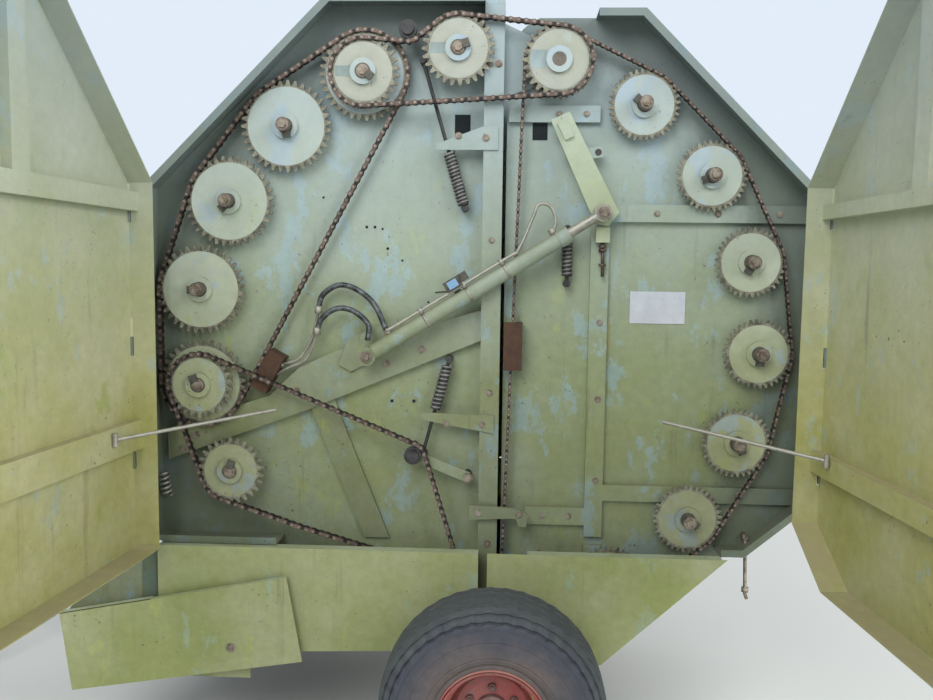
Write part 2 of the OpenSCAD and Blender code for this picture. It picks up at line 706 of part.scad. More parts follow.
// Drawbar: two tubes that meet at the eye, with its cross plate
bar_w = 90;
leg_root = [beam_x - 10, half_w - 130, beam_z];
leg_front = [eye_x + 330, 60, eye_z];
module leg(side) {
    a = [leg_root[0], side * leg_root[1], leg_root[2]];
    b = [leg_front[0], side * leg_front[1], leg_front[2]];
    v = b - a;
    translate(a) rotate([0, -atan2(v[2], norm([v[0], v[1]])), atan2(v[1], v[0])])
        translate([0, -bar_w / 2, -bar_w / 2]) cube([norm(v), bar_w, bar_w]);
}
module drawbar() {
    color(paint) difference() {
        union() {
            leg(1);
            leg(-1);
            translate([eye_x + 120, -70, eye_z - 45]) cube([260, 140, 90]);
            translate([eye_x + 20, -30, eye_z - 15]) cube([120, 60, 30]);
            translate([eye_x, 0, eye_z - 17]) cylinder(h = 34, d = 104);
            translate([beam_x - gap - 9, -half_w + 70, beam_z - 65]) cube([9, chamber_w - 140, 140]);
        }
        translate([eye_x, 0, eye_z - 30]) cylinder(h = 60, d = eye_bore);
        translate([beam_x - gap, -half_w, beam_z - 100]) cube([60, chamber_w, 200]);
    }
}

// Parking jack on the drawbar: fixed tube, sliding leg and foot
jack_x = eye_x + 430;
jack_arm = 67;
leg_slope = (leg_root[1] - leg_front[1]) / (leg_root[0] - leg_front[0]);
// Outer face of the left leg at x
function leg_side(x) = -leg_front[1] - (x - leg_front[0]) * leg_slope
    - bar_w / 2 * sqrt(1 + leg_slope * leg_slope);
jack_y = leg_side(jack_x + 30) - jack_arm - gap;
jack_top = eye_z + 330;
module jack_tube() {
    color(steel) {
        difference() {
            translate([jack_x, jack_y, eye_z - 210]) cylinder(h = jack_top - eye_z + 210, d = 70);
            translate([jack_x, jack_y, eye_z - 211]) cylinder(h = jack_top - eye_z + 191, d = 58.6);
        }
        translate([jack_x - 30, jack_y + 30, eye_z - 40]) cube([60, jack_arm - 30, 80]);
        translate([jack_x, jack_y, jack_top]) cylinder(h = 24, d = 84);
        bar([jack_x, jack_y, jack_top + 30], [jack_x - 120, jack_y - 60, jack_top + 30], 16);
    }
}
module jack_leg() {
    color(steel) {
        translate([jack_x, jack_y, -chamber_z + 4]) cylinder(h = eye_h - 74, d = 58);
        translate([jack_x - 80, jack_y - 70, -chamber_z]) cube([160, 140, 10]);
    }
}

// Drive line: input shaft, bevel gearbox on its plate and cross shaft to the left cabinet
box_pt = [-body_x - 123, 0, beam_z + 140];
leg_top = beam_z + 36;
nose_end = 178;
input_d = 35;
shaft_out = 82;
module gearbox() {
    color(dark) {
        translate([box_pt[0] - 110, -110, leg_top + 13]) cube([220, 220, 200]);
        translate([box_pt[0] - nose_end + 70, 0, box_pt[2]]) rotate([0, -90, 0])
            cylinder(h = 70, d = 120);
        translate([box_pt[0] - nose_end + 8, 0, box_pt[2]]) rotate([0, -90, 0])
            cylinder(h = shaft_out + 8, d = input_d);
        translate([box_pt[0], -lip_y + 20, box_pt[2]]) rotate([-90, 0, 0])
            cylinder(h = lip_y - 20 - 108, d = 70);
    }
    color(paint) {
        translate([box_pt[0] - 100, -440, leg_top + 3]) cube([200, 880, 10.5]);
        translate([box_pt[0] - 60, -lip_y + 3, box_pt[2] - 75])
            cube([-body_x - box_pt[0] + 60 - gap, cabinet_d - 10, 180]);
    }
}

// Twine box on the front of the chamber
box_d = 343;
module twine_box() {
    color(paint) {
        translate([-body_x - box_d, -half_w + 80, 30])
            cube([box_d + 2 - gap, chamber_w - 160, 380]);
        translate([-body_x - box_d - 10, -half_w + 70, 410])
            cube([box_d + 12 - gap, chamber_w - 140, 22]);
    }
}

// Pickup: side plates, reel with tines, strippers and lift arms
reel = [-body_x - 33, -bottom + 45];
reel_r = 205;
pick_y = wall_y + 122;
guard_y = pick_y + 47;
pick_tube = pick_pivot + [-120, -55];
band_r = 125;
module pickup_frame() {
    color(paint) {
        both_sides() {
            upright(-guard_y, 4) translate(reel) polygon([[-261, 96], [518, 244], [570, -48],
                [-224, -175]]);
            upright(-pick_y, 4) union() {
                translate(reel) circle(r = band_r + 8);
                translate([reel[0], reel[1] - band_r - 8]) square([pick_tube[0] + 50 - reel[0],
                    2 * band_r + 40]);
            }
            for (z = [40, -60]) translate([reel[0] - 60, -guard_y + 3, reel[1] + z])
                cube([50, guard_y - pick_y - 2, 6]);
            difference() {
                upright(-ear_y + 14, 9) translate(pick_pivot) polygon([[-80, -50], [-80, -10],
                    [-10, 28], [25, 15], [25, -18], [-10, -28]]);
                translate([pick_pivot[0], 0, pick_pivot[1]]) rotate([90, 0, 0])
                    cylinder(h = 700, d = pivot_d);
            }
            translate([pick_pivot[0], -ear_y - 4, pick_pivot[1]]) rotate([-90, 0, 0])
                cylinder(h = 27, d = pivot_d);
            translate([reel[0], -pick_y + 1, reel[1]]) rotate([-90, 0, 0]) difference() {
                cylinder(h = 36, d = 110);
                translate([0, 0, -1]) cylinder(h = 38, d = 40 + 2 * gap);
            }
        }
        translate([pick_tube[0], -pick_y + 2, pick_tube[1]]) cube([50, 2 * pick_y - 4, 50]);
        translate([pick_tube[0], -pick_y + 2, reel[1] - band_r - 6])
            cube([24, 2 * pick_y - 4, 30]);
    }
}
module strippers() {
    color(steel) for (i = [-9:9])
        translate([0, i * 68 + 12, 0]) rotate([90, 0, 0]) linear_extrude(24) difference() {
            union() {
                translate(reel) circle(r = band_r);
                translate([reel[0], reel[1] - band_r])
                    square([pick_tube[0] - gap - reel[0], 2 * band_r]);
            }
            translate(reel) circle(r = band_r - 4);
            translate([reel[0], reel[1] - band_r + 4]) square([900, 2 * band_r - 8]);
        }
}
module reel_body() {
    color(dark) {
        translate([reel[0], -pick_y + 45, reel[1]]) rotate([-90, 0, 0])
            cylinder(h = 2 * pick_y - 90, d = 120);
        translate([reel[0], -pick_y + 8, reel[1]]) rotate([-90, 0, 0])
            cylinder(h = 2 * pick_y - 16, d = 40);
        for (i = [-9.5:9.5], a = [45, 135, 225, 315])
            translate([reel[0], i * 68, reel[1]]) rotate([0, a, 0]) cylinder(h = reel_r, d = 7);
    }
}

// Road wheel: ribbed tyre, rim and hub, at side -1 left or 1 right
groove = 12;
module tyre_profile() {
    r = tyre_d / 2;
    w = tyre_w / 2;
    b = rim_d / 2 - 11.5;
    difference() {
        polygon([[b, -w + 22], [b + 30, -w + 14], [r - 100, -w], [r - 62, -w + 3], [r - 30, -w + 17],
            [r - 10, -w + 40], [r, -w + 76], [r, w - 76], [r - 10, w - 40], [r - 30, w - 17],
            [r - 62, w - 3], [r - 100, w], [b + 30, w - 14], [b, w - 22]]);
        for (y = [-69, -23, 23, 69]) translate([r - groove, y - groove / 2]) square([30, groove]);
    }
}
module wheel() {
    color("#3a3a3a") rotate([90, 0, 0]) rotate_extrude($fn = 90) tyre_profile();
}
module rim(side) {
    color("#8e2f26") rotate([90, 0, 0]) {
        difference() {
            union() {
                rotate_extrude() polygon([[rim_d / 2 - 24, -tyre_w / 2 + 24],
                    [rim_d / 2, -tyre_w / 2 + 10], [rim_d / 2, -tyre_w / 2 + 18],
                    [rim_d / 2 - 12.3, -tyre_w / 2 + 21.6], [rim_d / 2 - 12.3, tyre_w / 2 - 21.6],
                    [rim_d / 2, tyre_w / 2 - 18], [rim_d / 2, tyre_w / 2 - 10],
                    [rim_d / 2 - 24, tyre_w / 2 - 24]]);
                translate([0, 0, -12]) cylinder(h = 12, r = rim_d / 2 - 20);
                translate([0, 0, -60]) cylinder(h = 110, d = 110);
            }
            translate([0, 0, -70]) cylinder(h = 140, d = 50 + 2 * gap);
            for (a = [0:60:300]) rotate([0, 0, a]) translate([102, 0, -30]) cylinder(h = 60, d = 17);
        }
    }
}
module at_wheel(side) {
    translate([wheel_x, side * wheel_y, axle_z]) mirror([0, side > 0 ? 1 : 0, 0]) children();
}

// Hooks, stays' eyes and small parts
module latch_hook() {
    y = -wall_y - post_d - 22;
    color(paint) upright(y, 12) translate([0, -cabinet_floor]) polygon([[-8, 144], [150, 136],
        [190, 116], [186, 74], [160, 74], [150, 102], [-8, 94]]);
    color(dark) translate([10, y + 12, -cabinet_floor + 116]) rotate([-90, 0, 0])
        cylinder(h = 10 - gap, d = 24);
}

module front_wall_left() color(paint) {
    floor_slot(bend_pt[0] - 100, 40) front_wall();
    hinge_lugs(-1, hinge_zs);
}
module front_wall_right() mirror([0, 1, 0]) front_wall_left();
module tail_wall_left() color(paint) {
    floor_slot(90, ring(tail_angles[6])[0] + 100) tail_wall();
    hinge_lugs(1, rear_hinge_zs);
}
module tail_wall_right() mirror([0, 1, 0]) tail_wall_left();

module wall_beams() {
    side_beams();
    both_sides() cylinder_mount();
    latch_hook();
}
module lever_arms() color(paint) both_sides() lever_arm();
module skirts_front() color(paint) both_sides() skirt_front();
module skirts_rear() color(paint) both_sides() skirt_rear();
module barrel_left() barrel();
module barrel_right() mirror([0, 1, 0]) barrel();
module rod_left() rod();
module rod_right() mirror([0, 1, 0]) rod();
module door_front_left() color(paint) open_front(front_door_open) front_door();
module door_rear_left() color(paint) open_rear(rear_door_open) rear_door();
module door_front_right() color(paint) mirror([0, 1, 0]) front_door();
module door_rear_right() color(paint) mirror([0, 1, 0]) rear_door();
module stay_front_left() stay(front_stay_pt, front_stay_z, front_stay_end);
module stay_rear_left() stay(rear_stay_pt, rear_stay_z, rear_stay_end);
module tyre_left() at_wheel(-1) wheel();
module tyre_right() at_wheel(1) wheel();
module rim_left() at_wheel(-1) rim(-1);
module rim_right() at_wheel(1) rim(1);

from_eye() front_wall_left();
from_eye() front_wall_right();
from_eye() main_frame();
from_eye() wall_beams();
from_eye() front_sheet();
from_eye() skirts_front();
from_eye() axle();
from_eye() drawbar();
from_eye() jack_tube();
from_eye() jack_leg();
from_eye() gearbox();
from_eye() twine_box();
from_eye() front_rollers();
from_eye() front_sprockets();
from_eye() chain_top();
from_eye() chain_front();
from_eye() chain_low();
from_eye() front_tensioners();
from_eye() tail_wall_left();
from_eye() tail_wall_right();
from_eye() tail_shell();
from_eye() tail_rollers();
from_eye() tail_sprockets();
from_eye() chain_tail();
from_eye() tail_tensioners();
from_eye() tail_lamps();
from_eye() lever_arms();
from_eye() skirts_rear();
from_eye() barrel_left();
from_eye() barrel_right();
from_eye() rod_left();
from_eye() rod_right();
from_eye() door_front_left();
from_eye() door_rear_left();
from_eye() door_front_right();
from_eye() door_rear_right();
from_eye() stay_front_left();
from_eye() stay_rear_left();
from_eye() pickup_frame();
from_eye() strippers();
from_eye() reel_body();  // reel
from_eye() tyre_left();
from_eye() tyre_right();
from_eye() rim_left();
from_eye() rim_right();
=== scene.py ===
"""Looks of a round baler with a fixed roller chamber: weathered sheet steel, chains, springs, tyres."""

import math

import bmesh
import bpy
from mathutils import Matrix, Vector


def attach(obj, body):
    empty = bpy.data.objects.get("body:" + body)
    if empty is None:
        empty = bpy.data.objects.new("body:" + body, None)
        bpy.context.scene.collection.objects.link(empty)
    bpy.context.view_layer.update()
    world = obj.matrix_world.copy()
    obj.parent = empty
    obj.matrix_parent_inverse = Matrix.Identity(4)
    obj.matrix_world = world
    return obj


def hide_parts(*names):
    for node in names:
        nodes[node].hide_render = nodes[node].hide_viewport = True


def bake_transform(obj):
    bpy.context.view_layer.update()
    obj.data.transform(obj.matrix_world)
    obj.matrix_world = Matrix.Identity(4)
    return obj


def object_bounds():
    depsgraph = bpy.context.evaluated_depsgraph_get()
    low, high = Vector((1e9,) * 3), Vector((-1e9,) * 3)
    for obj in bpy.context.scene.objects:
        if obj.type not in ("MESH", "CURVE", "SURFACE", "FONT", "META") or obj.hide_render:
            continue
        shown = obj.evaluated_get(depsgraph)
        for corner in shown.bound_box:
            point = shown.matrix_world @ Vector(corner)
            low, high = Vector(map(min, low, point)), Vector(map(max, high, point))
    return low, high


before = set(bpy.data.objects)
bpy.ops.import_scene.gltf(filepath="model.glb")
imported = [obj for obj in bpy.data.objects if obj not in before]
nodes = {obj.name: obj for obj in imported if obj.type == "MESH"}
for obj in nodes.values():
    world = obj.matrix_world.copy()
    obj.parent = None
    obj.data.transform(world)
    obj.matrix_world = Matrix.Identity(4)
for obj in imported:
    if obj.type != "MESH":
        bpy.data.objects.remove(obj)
cad_box = [list(corner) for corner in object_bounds()]

# Side walls and their folded cabinets. Mild steel sheet, 6 mm on the walls, sprayed with machine
# enamel that has chalked in the sun: it shows a pale primer where it wore through, brown runs
# below the chains, and rust where stones chipped it.
chamber_x, chamber_z = 2560, 920  # the chamber's middle, in mm from the drawbar eye
chalk_size, soil_size, patch_size = 384.6, 294.1, 153.85  # across the marks in the enamel, in mm
run_wide, run_long = 38.46, 769.2
mottle_size, chip_size = 33.33, 13.333
# The haze colour paints light over the tops, and the oil colour paints shade with some chain oil out past the
# rollers
fresh_green, chip_rust, edge_rust, painted_haze, oil_and_rim_shade = "#a0a95c", "#5e3f2a", "#a8938c", "#9cb0c4", "#454f46"


def linear(code):
    """The linear colour of an sRGB hex code."""
    parts = [int(code[i : i + 2], 16) / 255 for i in (1, 3, 5)]
    return tuple(c / 12.92 if c < 0.04045 else ((c + 0.055) / 1.055) ** 2.4 for c in parts) + (1,)


def add(tree, kind, inputs=None, **settings):
    """Adds one node with its settings, and links or values for its inputs."""
    made = tree.nodes.new(kind)
    for key, value in settings.items():
        setattr(made, key, value)
    for key, value in (inputs or {}).items():
        if isinstance(value, bpy.types.NodeSocket):
            tree.links.new(value, made.inputs[key])
        else:
            made.inputs[key].default_value = value
    return made


def blank(name):
    """A material with an empty tree that ends in a Principled shader."""
    material = bpy.data.materials.new(name)
    material.use_nodes = True
    tree = material.node_tree
    tree.nodes.clear()
    shader = add(tree, "ShaderNodeBsdfPrincipled")
    add(tree, "ShaderNodeOutputMaterial", {"Surface": shader.outputs[0]})
    return material, tree, shader


def worn(tree, *masks):
    """Where a layer shows: the product of masks, each (pattern, low, high, least, most)."""
    share = None
    for pattern, low, high, least, most in masks:
        step = add(tree, "ShaderNodeMapRange", {0: pattern, 1: low, 2: high, 3: least, 4: most}).outputs[0]
        if share is None:
            share = step
        else:
            share = add(tree, "ShaderNodeMath", {0: share, 1: step}, operation="MULTIPLY").outputs[0]
    return share


def layered(tree, under, over, *masks):
    """A colour with another laid over it where the masks let it show."""
    parts = {0: worn(tree, *masks), 6: under, 7: over}
    return add(tree, "ShaderNodeMix", parts, data_type="RGBA").outputs[2]


def shaded(tree, colour, *mask):
    """A colour made darker or lighter by one mask."""
    parts = {0: 1.0, 6: colour, 7: worn(tree, mask)}
    return add(tree, "ShaderNodeMix", parts, data_type="RGBA", blend_type="MULTIPLY").outputs[2]


def distance_from(tree, place, x, z):
    """Distance in the side view from a point in mm, in metres."""
    span = {0: place, 1: (x / 1000, 0, z / 1000)}
    span = add(tree, "ShaderNodeVectorMath", span, operation="SUBTRACT").outputs[0]
    span = add(tree, "ShaderNodeVectorMath", {0: span, 1: (1, 0, 1)}, operation="MULTIPLY").outputs[0]
    return add(tree, "ShaderNodeVectorMath", {0: span}, operation="LENGTH").outputs["Value"]


def enamel(name, coat, chalk, primer, grime, patches=0.56, runs=0.6, rust=0.65, seed=0.0,
           pale=0.55, deep=0.6, lip=0.0, ledge="#7f7b60", oil=0.0):
    """Weathered enamel with painted light. Patches, runs and rust are noise levels; pale is the share of a
    painted bluish haze towards the top, deep the share of darkening towards the ground, and oil the share of
    painted shade with some chain oil out past the rollers; lip is in metres.
    """
    material, tree, shader = blank(name)
    place = add(tree, "ShaderNodeTexCoord").outputs["Object"]
    moved = add(tree, "ShaderNodeMapping", {0: place, 1: (seed, seed * 0.7, seed * 0.4)}).outputs[0]

    # Chalking is broad and soft, and primer shows in ragged patches that are taller than wide
    noise = {"Vector": moved, "Scale": 1000 / chalk_size, "Detail": 5.0, "Roughness": 0.62}
    broad = add(tree, "ShaderNodeTexNoise", noise).outputs[0]
    colour = layered(tree, linear(coat), linear(chalk), (broad, 0.38, 0.66, 0, 1))
    tall = add(tree, "ShaderNodeMapping", {0: moved, 3: (1.0, 1.0, 0.6)}).outputs[0]
    noise = {"Vector": tall, "Scale": 1000 / patch_size, "Detail": 9.0, "Roughness": 0.72}
    ragged = add(tree, "ShaderNodeTexNoise", noise).outputs[0]
    colour = layered(tree, colour, linear(primer), (ragged, patches, patches + 0.035, 0, 0.7))
    colour = layered(tree, colour, linear(fresh_green), (ragged, 0.365, 0.4, 0.6, 0))

    # Oily dust runs down with gravity, and finer dust mottles the rest
    across = 1000 / run_wide
    run = add(tree, "ShaderNodeMapping", {0: moved, 3: (across, across, 1000 / run_long)}).outputs[0]
    noise = {"Vector": run, "Scale": 1.0, "Detail": 4.0, "Roughness": 0.6}
    streak = add(tree, "ShaderNodeTexNoise", noise).outputs[0]
    noise = {"Vector": moved, "Scale": 1000 / soil_size, "Detail": 3.0}
    soiled = add(tree, "ShaderNodeTexNoise", noise).outputs[0]
    masks = (streak, runs, runs + 0.2, 0, 1), (soiled, 0.42, 0.62, 0, 1)
    colour = layered(tree, colour, linear(grime), *masks)
    noise = {"Vector": moved, "Scale": 1000 / mottle_size, "Detail": 6.0, "Roughness": 0.7}
    dust = add(tree, "ShaderNodeTexNoise", noise).outputs[0]
    colour = shaded(tree, colour, dust, 0.3, 0.75, 0.86, 1.08)

    # Stones chipped it down to rust
    noise = {"Vector": moved, "Scale": 1000 / chip_size, "Detail": 5.0, "Roughness": 0.65}
    chip = add(tree, "ShaderNodeTexNoise", noise).outputs[0]
    chipped = worn(tree, (chip, rust, rust + 0.03, 0, 1), (soiled, 0.45, 0.55, 0, 1))
    colour = layered(tree, colour, linear(chip_rust), (chipped, 0, 1, 0, 1))

    # Painted haze: a pale bluish light laid over the tops in place of glare; darker towards the ground, with
    # dust on what faces up
    spot = add(tree, "ShaderNodeSeparateXYZ", {0: place}).outputs
    colour = layered(tree, colour, linear(painted_haze), (spot["Z"], 0.7, 1.75, 0, pale))
    colour = shaded(tree, colour, spot["Z"], 0.35, 1.15, deep, 1)
    facing = add(tree, "ShaderNodeTexCoord").outputs["Normal"]
    upward = add(tree, "ShaderNodeSeparateXYZ", {0: facing}).outputs["Z"]
    colour = layered(tree, colour, linear(ledge), (upward, 0.5, 0.8, 0, 1), (ragged, 0.36, 0.56, 0.25, 0.8))
    if lip:
        # Rust along the outer edges of the sheet
        out = add(tree, "ShaderNodeMath", {0: spot["Y"]}, operation="ABSOLUTE").outputs[0]
        masks = (out, lip, lip + 0.012, 0, 1), (ragged, 0.4, 0.6, 0.35, 0.9)
        colour = layered(tree, colour, linear(edge_rust), *masks)
    if oil:
        # Painted shade with some chain oil: a dark band on the wall out past the ring of rollers, where the
        # wall lies in shade round the chamber's rim
        reach = {0: ragged, 1: 0.22, 2: distance_from(tree, place, chamber_x, chamber_z)}
        reach = add(tree, "ShaderNodeMath", reach, operation="MULTIPLY_ADD").outputs[0]
        colour = layered(tree, colour, linear(oil_and_rim_shade), (reach, 1.0, 1.13, 0, oil))

    tree.links.new(colour, shader.inputs["Base Color"])
    tree.links.new(worn(tree, (ragged, 0.4, 0.65, 0.5, 0.82)), shader.inputs["Roughness"])
    relief = add(tree, "ShaderNodeMath", {0: dust, 1: chipped}, operation="SUBTRACT").outputs[0]
    bump = add(tree, "ShaderNodeBump", {"Strength": 0.16, "Distance": 0.002, "Height": relief})
    tree.links.new(bump.outputs[0], shader.inputs["Normal"])
    return material


def coat_nodes(material, *names):
    """Gives CAD nodes one material."""
    for name in names:
        nodes[name].data.materials.clear()
        nodes[name].data.materials.append(material)


wall_enamel = enamel("wall_enamel", "#919a68", "#9aa486", "#98b0ae", "#5f5f45", patches=0.55, oil=0.62)
coat_nodes(wall_enamel, "front_wall_left", "front_wall_right", "tail_wall_left", "tail_wall_right")

# Frame, beams and brackets. Square tube and folded plate, welded and bolted, in the same enamel but
# duller, because grease and dust lie on them. The sheets over the chamber rust along their edges,
# and the tailgate's lever arms kept a fresher coat.
frame_enamel = enamel("frame_enamel", "#878e60", "#979f82", "#8fa8aa", "#4f4f3c", patches=0.57,
                      seed=3.1, deep=0.54)
coat_nodes(frame_enamel, "main_frame", "wall_beams", "twine_box", "drawbar", "gearbox", "barrel_left",
           "barrel_right")
shell_enamel = enamel("shell_enamel", "#858f62", "#97a389", "#8fa8aa", "#4f4f3c", patches=0.57,
                      seed=3.1, lip=0.7)
coat_nodes(shell_enamel, "front_sheet", "tail_shell")
lever_enamel = enamel("lever_enamel", "#a6ae70", "#aeb68c", "#9fb0a4", "#6d6a4c", patches=0.6,
                      seed=9.4, pale=0.35)
coat_nodes(lever_enamel, "lever_arms")

# Doors and skirts. Folded 2 to 3 mm sheet with hat ribs inside, in enamel that the sun kept
# yellower than on the walls, with dust on the inside.
door_enamel = enamel("door_enamel", "#a8a766", "#bab88c", "#a6b3a0", "#857e58", patches=0.575, rust=0.655,
                     seed=7.7, pale=0.5, deep=0.85, ledge="#9c9070")
coat_nodes(door_enamel, "door_front_left", "door_rear_left", "door_front_right", "door_rear_right")
skirt_enamel = enamel("skirt_enamel", "#8d955a", "#a3a680", "#93a58c", "#5d5c3c", patches=0.6,
                      seed=12.3, deep=0.9, ledge="#a3ab92")
coat_nodes(skirt_enamel, "skirts_front", "skirts_rear", "pickup_frame")

# Chain wheels. Flame-cut steel plate on turned hubs, in faded enamel that the chain wore off the
# teeth, with a ring of grease and rust round the hub.
wheel_enamel = enamel("wheel_enamel", "#9fa578", "#b3b795", "#9fb0b4", "#6d6a4c", patches=0.55,
                      runs=0.7, seed=5.2)
coat_nodes(wheel_enamel, "front_sprockets", "tail_sprockets")

# Rollers, chains, springs and rods. Bare, zinc-plated or blackened steel: a dark film of oil with
# brown dust stuck in it, which lets the metal shine where parts rub.
film_size = 23.81  # across a spot in the film, in mm


def greasy(name, coat, shine, rough):
    """Oily steel: a dark coat, and a brighter shine where it is rubbed."""
    material, tree, shader = blank(name)
    place = add(tree, "ShaderNodeTexCoord").outputs["Object"]
    noise = {"Vector": place, "Scale": 1000 / film_size, "Detail": 6.0, "Roughness": 0.7}
    spots = add(tree, "ShaderNodeTexNoise", noise).outputs[0]
    colour = layered(tree, linear(coat), linear(shine), (spots, 0.4, 0.62, 0, 1))
    tree.links.new(colour, shader.inputs["Base Color"])
    shader.inputs["Metallic"].default_value = 0.55
    tree.links.new(worn(tree, (spots, 0.35, 0.65, rough, rough + 0.25)), shader.inputs["Roughness"])
    bump = add(tree, "ShaderNodeBump", {"Strength": 0.25, "Distance": 0.001, "Height": spots})
    tree.links.new(bump.outputs[0], shader.inputs["Normal"])
    return material


chain_steel = greasy("chain_steel", "#4a3f38", "#75655a", 0.4)
coat_nodes(chain_steel, "chain_top", "chain_front", "chain_low", "chain_tail")
roller_steel = greasy("roller_steel", "#55504a", "#7a6f64", 0.42)
coat_nodes(roller_steel, "front_rollers", "tail_rollers", "reel", "strippers", "jack_tube", "jack_leg",
           "axle")
black_steel = greasy("spring_steel", "#2f3032", "#4b4a48", 0.45)
coat_nodes(black_steel, "front_tensioners", "tail_tensioners")
zinc = greasy("zinc_plate", "#8f8d82", "#aaa698", 0.38)
coat_nodes(zinc, "stay_front_left", "stay_rear_left", "rod_left", "rod_right")
lamp_plastic = greasy("lamp_lens", "#7d1f16", "#8e3a22", 0.3)
coat_nodes(lamp_plastic, "tail_lamps")

# Teeth of the chain wheels. Cut round the plate's rim at the chain's pitch; the light falls
# through between them, and they are dark with grease where the chain runs.
ring_radius = 945.0  # of the rollers round the chamber, in mm
front_angles = (93.8, 113.2, 132.3, 151.5, 170.6, 190.2, 209.2)
tail_angles = (73.9, 54.9, 35.4, 16.4, -2.1, -20.8, -39.4, -60.0, -77.2)
low_angle = 264.0
inner_y, outer_y = -0.646, -0.682  # the two planes in which chains run, in metres
front_pitch, tail_pitch = 0.0254, 0.01905
main_teeth, tail_teeth, large_teeth, small_teeth = 35, 36, 27, 26
tooth_steel = greasy("tooth_steel", "#5d5a4e", "#93917f", 0.45)


def from_eye(x, z):
    """A point of the side view, given in mm round the chamber's middle, in metres from the eye."""
    return ((x + chamber_x) / 1000, (z + chamber_z) / 1000)


def ring_point(angle):
    """Middle of a roller on the chamber's ring, in metres."""
    turn = math.radians(angle)
    return from_eye(ring_radius * math.cos(turn), ring_radius * math.sin(turn))


def pitch_radius(teeth, pitch):
    """Radius at which a chain lies on a wheel."""
    return pitch / 2 / math.sin(math.pi / teeth)


def piece(name, mesh, material, body=None):
    """An object at the origin that rides on a body, if one is named."""
    made = bpy.data.objects.new(name, mesh)
    bpy.context.scene.collection.objects.link(made)
    mesh.materials.append(material)
    if body:
        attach(made, body)
    return made


def joined(name, meshes, material, body):
    """One piece from several meshes."""
    shape = bmesh.new()
    for mesh in meshes:
        shape.from_mesh(mesh)
        bpy.data.meshes.remove(mesh)
    whole = bpy.data.meshes.new(name)
    shape.to_mesh(whole)
    shape.free()
    return piece(name, whole, material, body)


def toothed_rim(teeth, pitch, middle, y, thick=0.0076, inset=0.026):
    """Toothed ring on a wheel's flat disc: four points a tooth, inset metres in from the pitch circle."""
    radius = pitch_radius(teeth, pitch)
    teeth_edge = [((i + 0.5 + share) * math.tau / teeth, radius + out * pitch) for i in range(teeth)
                  for share, out in ((-0.36, -0.33), (-0.14, 0.36), (0.14, 0.36), (0.36, -0.33))]
    disc_edge = [(a, radius - inset) for a, r in teeth_edge]
    shape = bmesh.new()
    rows = []
    for depth in (y - thick / 2, y + thick / 2):
        for edge in (teeth_edge, disc_edge):
            spots = [(middle[0] + r * math.cos(a), depth, middle[1] + r * math.sin(a)) for a, r in edge]
            rows.append([shape.verts.new(spot) for spot in spots])
    o0, i0, o1, i1 = rows
    for i in range(len(teeth_edge)):
        k = (i + 1) % len(teeth_edge)
        shape.faces.new((o0[i], o0[k], i0[k], i0[i]))
        shape.faces.new((o1[k], o1[i], i1[i], i1[k]))
        shape.faces.new((o0[k], o0[i], o1[i], o1[k]))
        shape.faces.new((i0[i], i0[k], i1[k], i1[i]))
    bmesh.ops.recalc_face_normals(shape, faces=shape.faces)
    mesh = bpy.data.meshes.new("rim")
    shape.to_mesh(mesh)
    shape.free()
    return mesh


top_wheels = (front_angles[0], front_angles[1], tail_angles[0])
low_wheels = (front_angles[5], front_angles[6], low_angle)
rims = [toothed_rim(main_teeth, front_pitch, ring_point(a), inner_y) for a in front_angles[1:6]]
rims += [toothed_rim(large_teeth, front_pitch, ring_point(a), outer_y) for a in top_wheels]
rims += [toothed_rim(small_teeth, front_pitch, ring_point(a), outer_y) for a in low_wheels]
joined("front_teeth", rims, tooth_steel, "root")
rims = [toothed_rim(tail_teeth, tail_pitch, ring_point(a), inner_y, 0.007, 0.022) for a in tail_angles]
joined("tail_teeth", rims, tooth_steel, "tailgate")

# Roller chains. Pressed side plates on pins and rollers, 25.4 mm pitch in front and 19.05 mm on
# the tailgate, black with old oil. Each loop is a run of links along its own path.
plate_black = greasy("plate_black", "#211f1e", "#3b3430", 0.45)
pin_bright = greasy("pin_bright", "#6c6058", "#978c83", 0.35)
large_wheel, small_wheel, idler, bend = 108, 104, 39, 90  # radii of the chains' paths, in mm


def leave(loop, i):
    """Direction, from circle i's middle, where the run to the next circle leaves it."""
    (x, z, r), (u, w, q) = loop[i], loop[(i + 1) % len(loop)]
    away = math.atan2(w - z, u - x)
    return away - math.pi / 2 + math.asin((r - q) / math.hypot(u - x, w - z))


def loop_path(loop):
    """Closed list of points along a loop of circles (x, z, radius), radius negative at a bend back."""
    points = []
    for i, (x, z, r) in enumerate(loop):
        first, last = leave(loop, i - 1), leave(loop, i)
        turn = (last - first) % math.tau
        if r < 0:
            turn -= math.tau
        if abs(turn) > math.tau - 0.01:
            turn = 0.0
        steps = max(2, int(abs(turn) / 0.12))
        for k in range(steps + 1):
            a = first + turn * k / steps
            points.append((x + r * math.cos(a), z + r * math.sin(a)))
    return points


def plate_mesh(name, outline, y0, y1):
    """A flat plate cut to an outline in x and z, between two depths."""
    mesh = bpy.data.meshes.new(name)
    shape = bmesh.new()
    face = shape.faces.new([shape.verts.new((x, y0, z)) for x, z in outline])
    moved = bmesh.ops.extrude_face_region(shape, geom=[face])["geom"]
    moved = [v for v in moved if isinstance(v, bmesh.types.BMVert)]
    bmesh.ops.translate(shape, vec=(0, y1 - y0, 0), verts=moved)
    bmesh.ops.recalc_face_normals(shape, faces=shape.faces)
    shape.to_mesh(mesh)
    shape.free()
    return mesh


def side_plate(pitch, y):
    """Side plate of one link at depth y: an oval outline, pinched at its middle."""
    height, thick = pitch * 0.66, pitch * 0.1
    outline = []
    for end in (1, -1):
        for a in (-70, -25, 25, 70):
            t = math.radians(a)
            outline.append((end * (pitch / 2 + height / 2 * math.cos(t)), end * height / 2 * math.sin(t)))
        outline.append((0.0, end * height * 0.3))
    return plate_mesh("plate", outline, y - thick / 2, y + thick / 2)


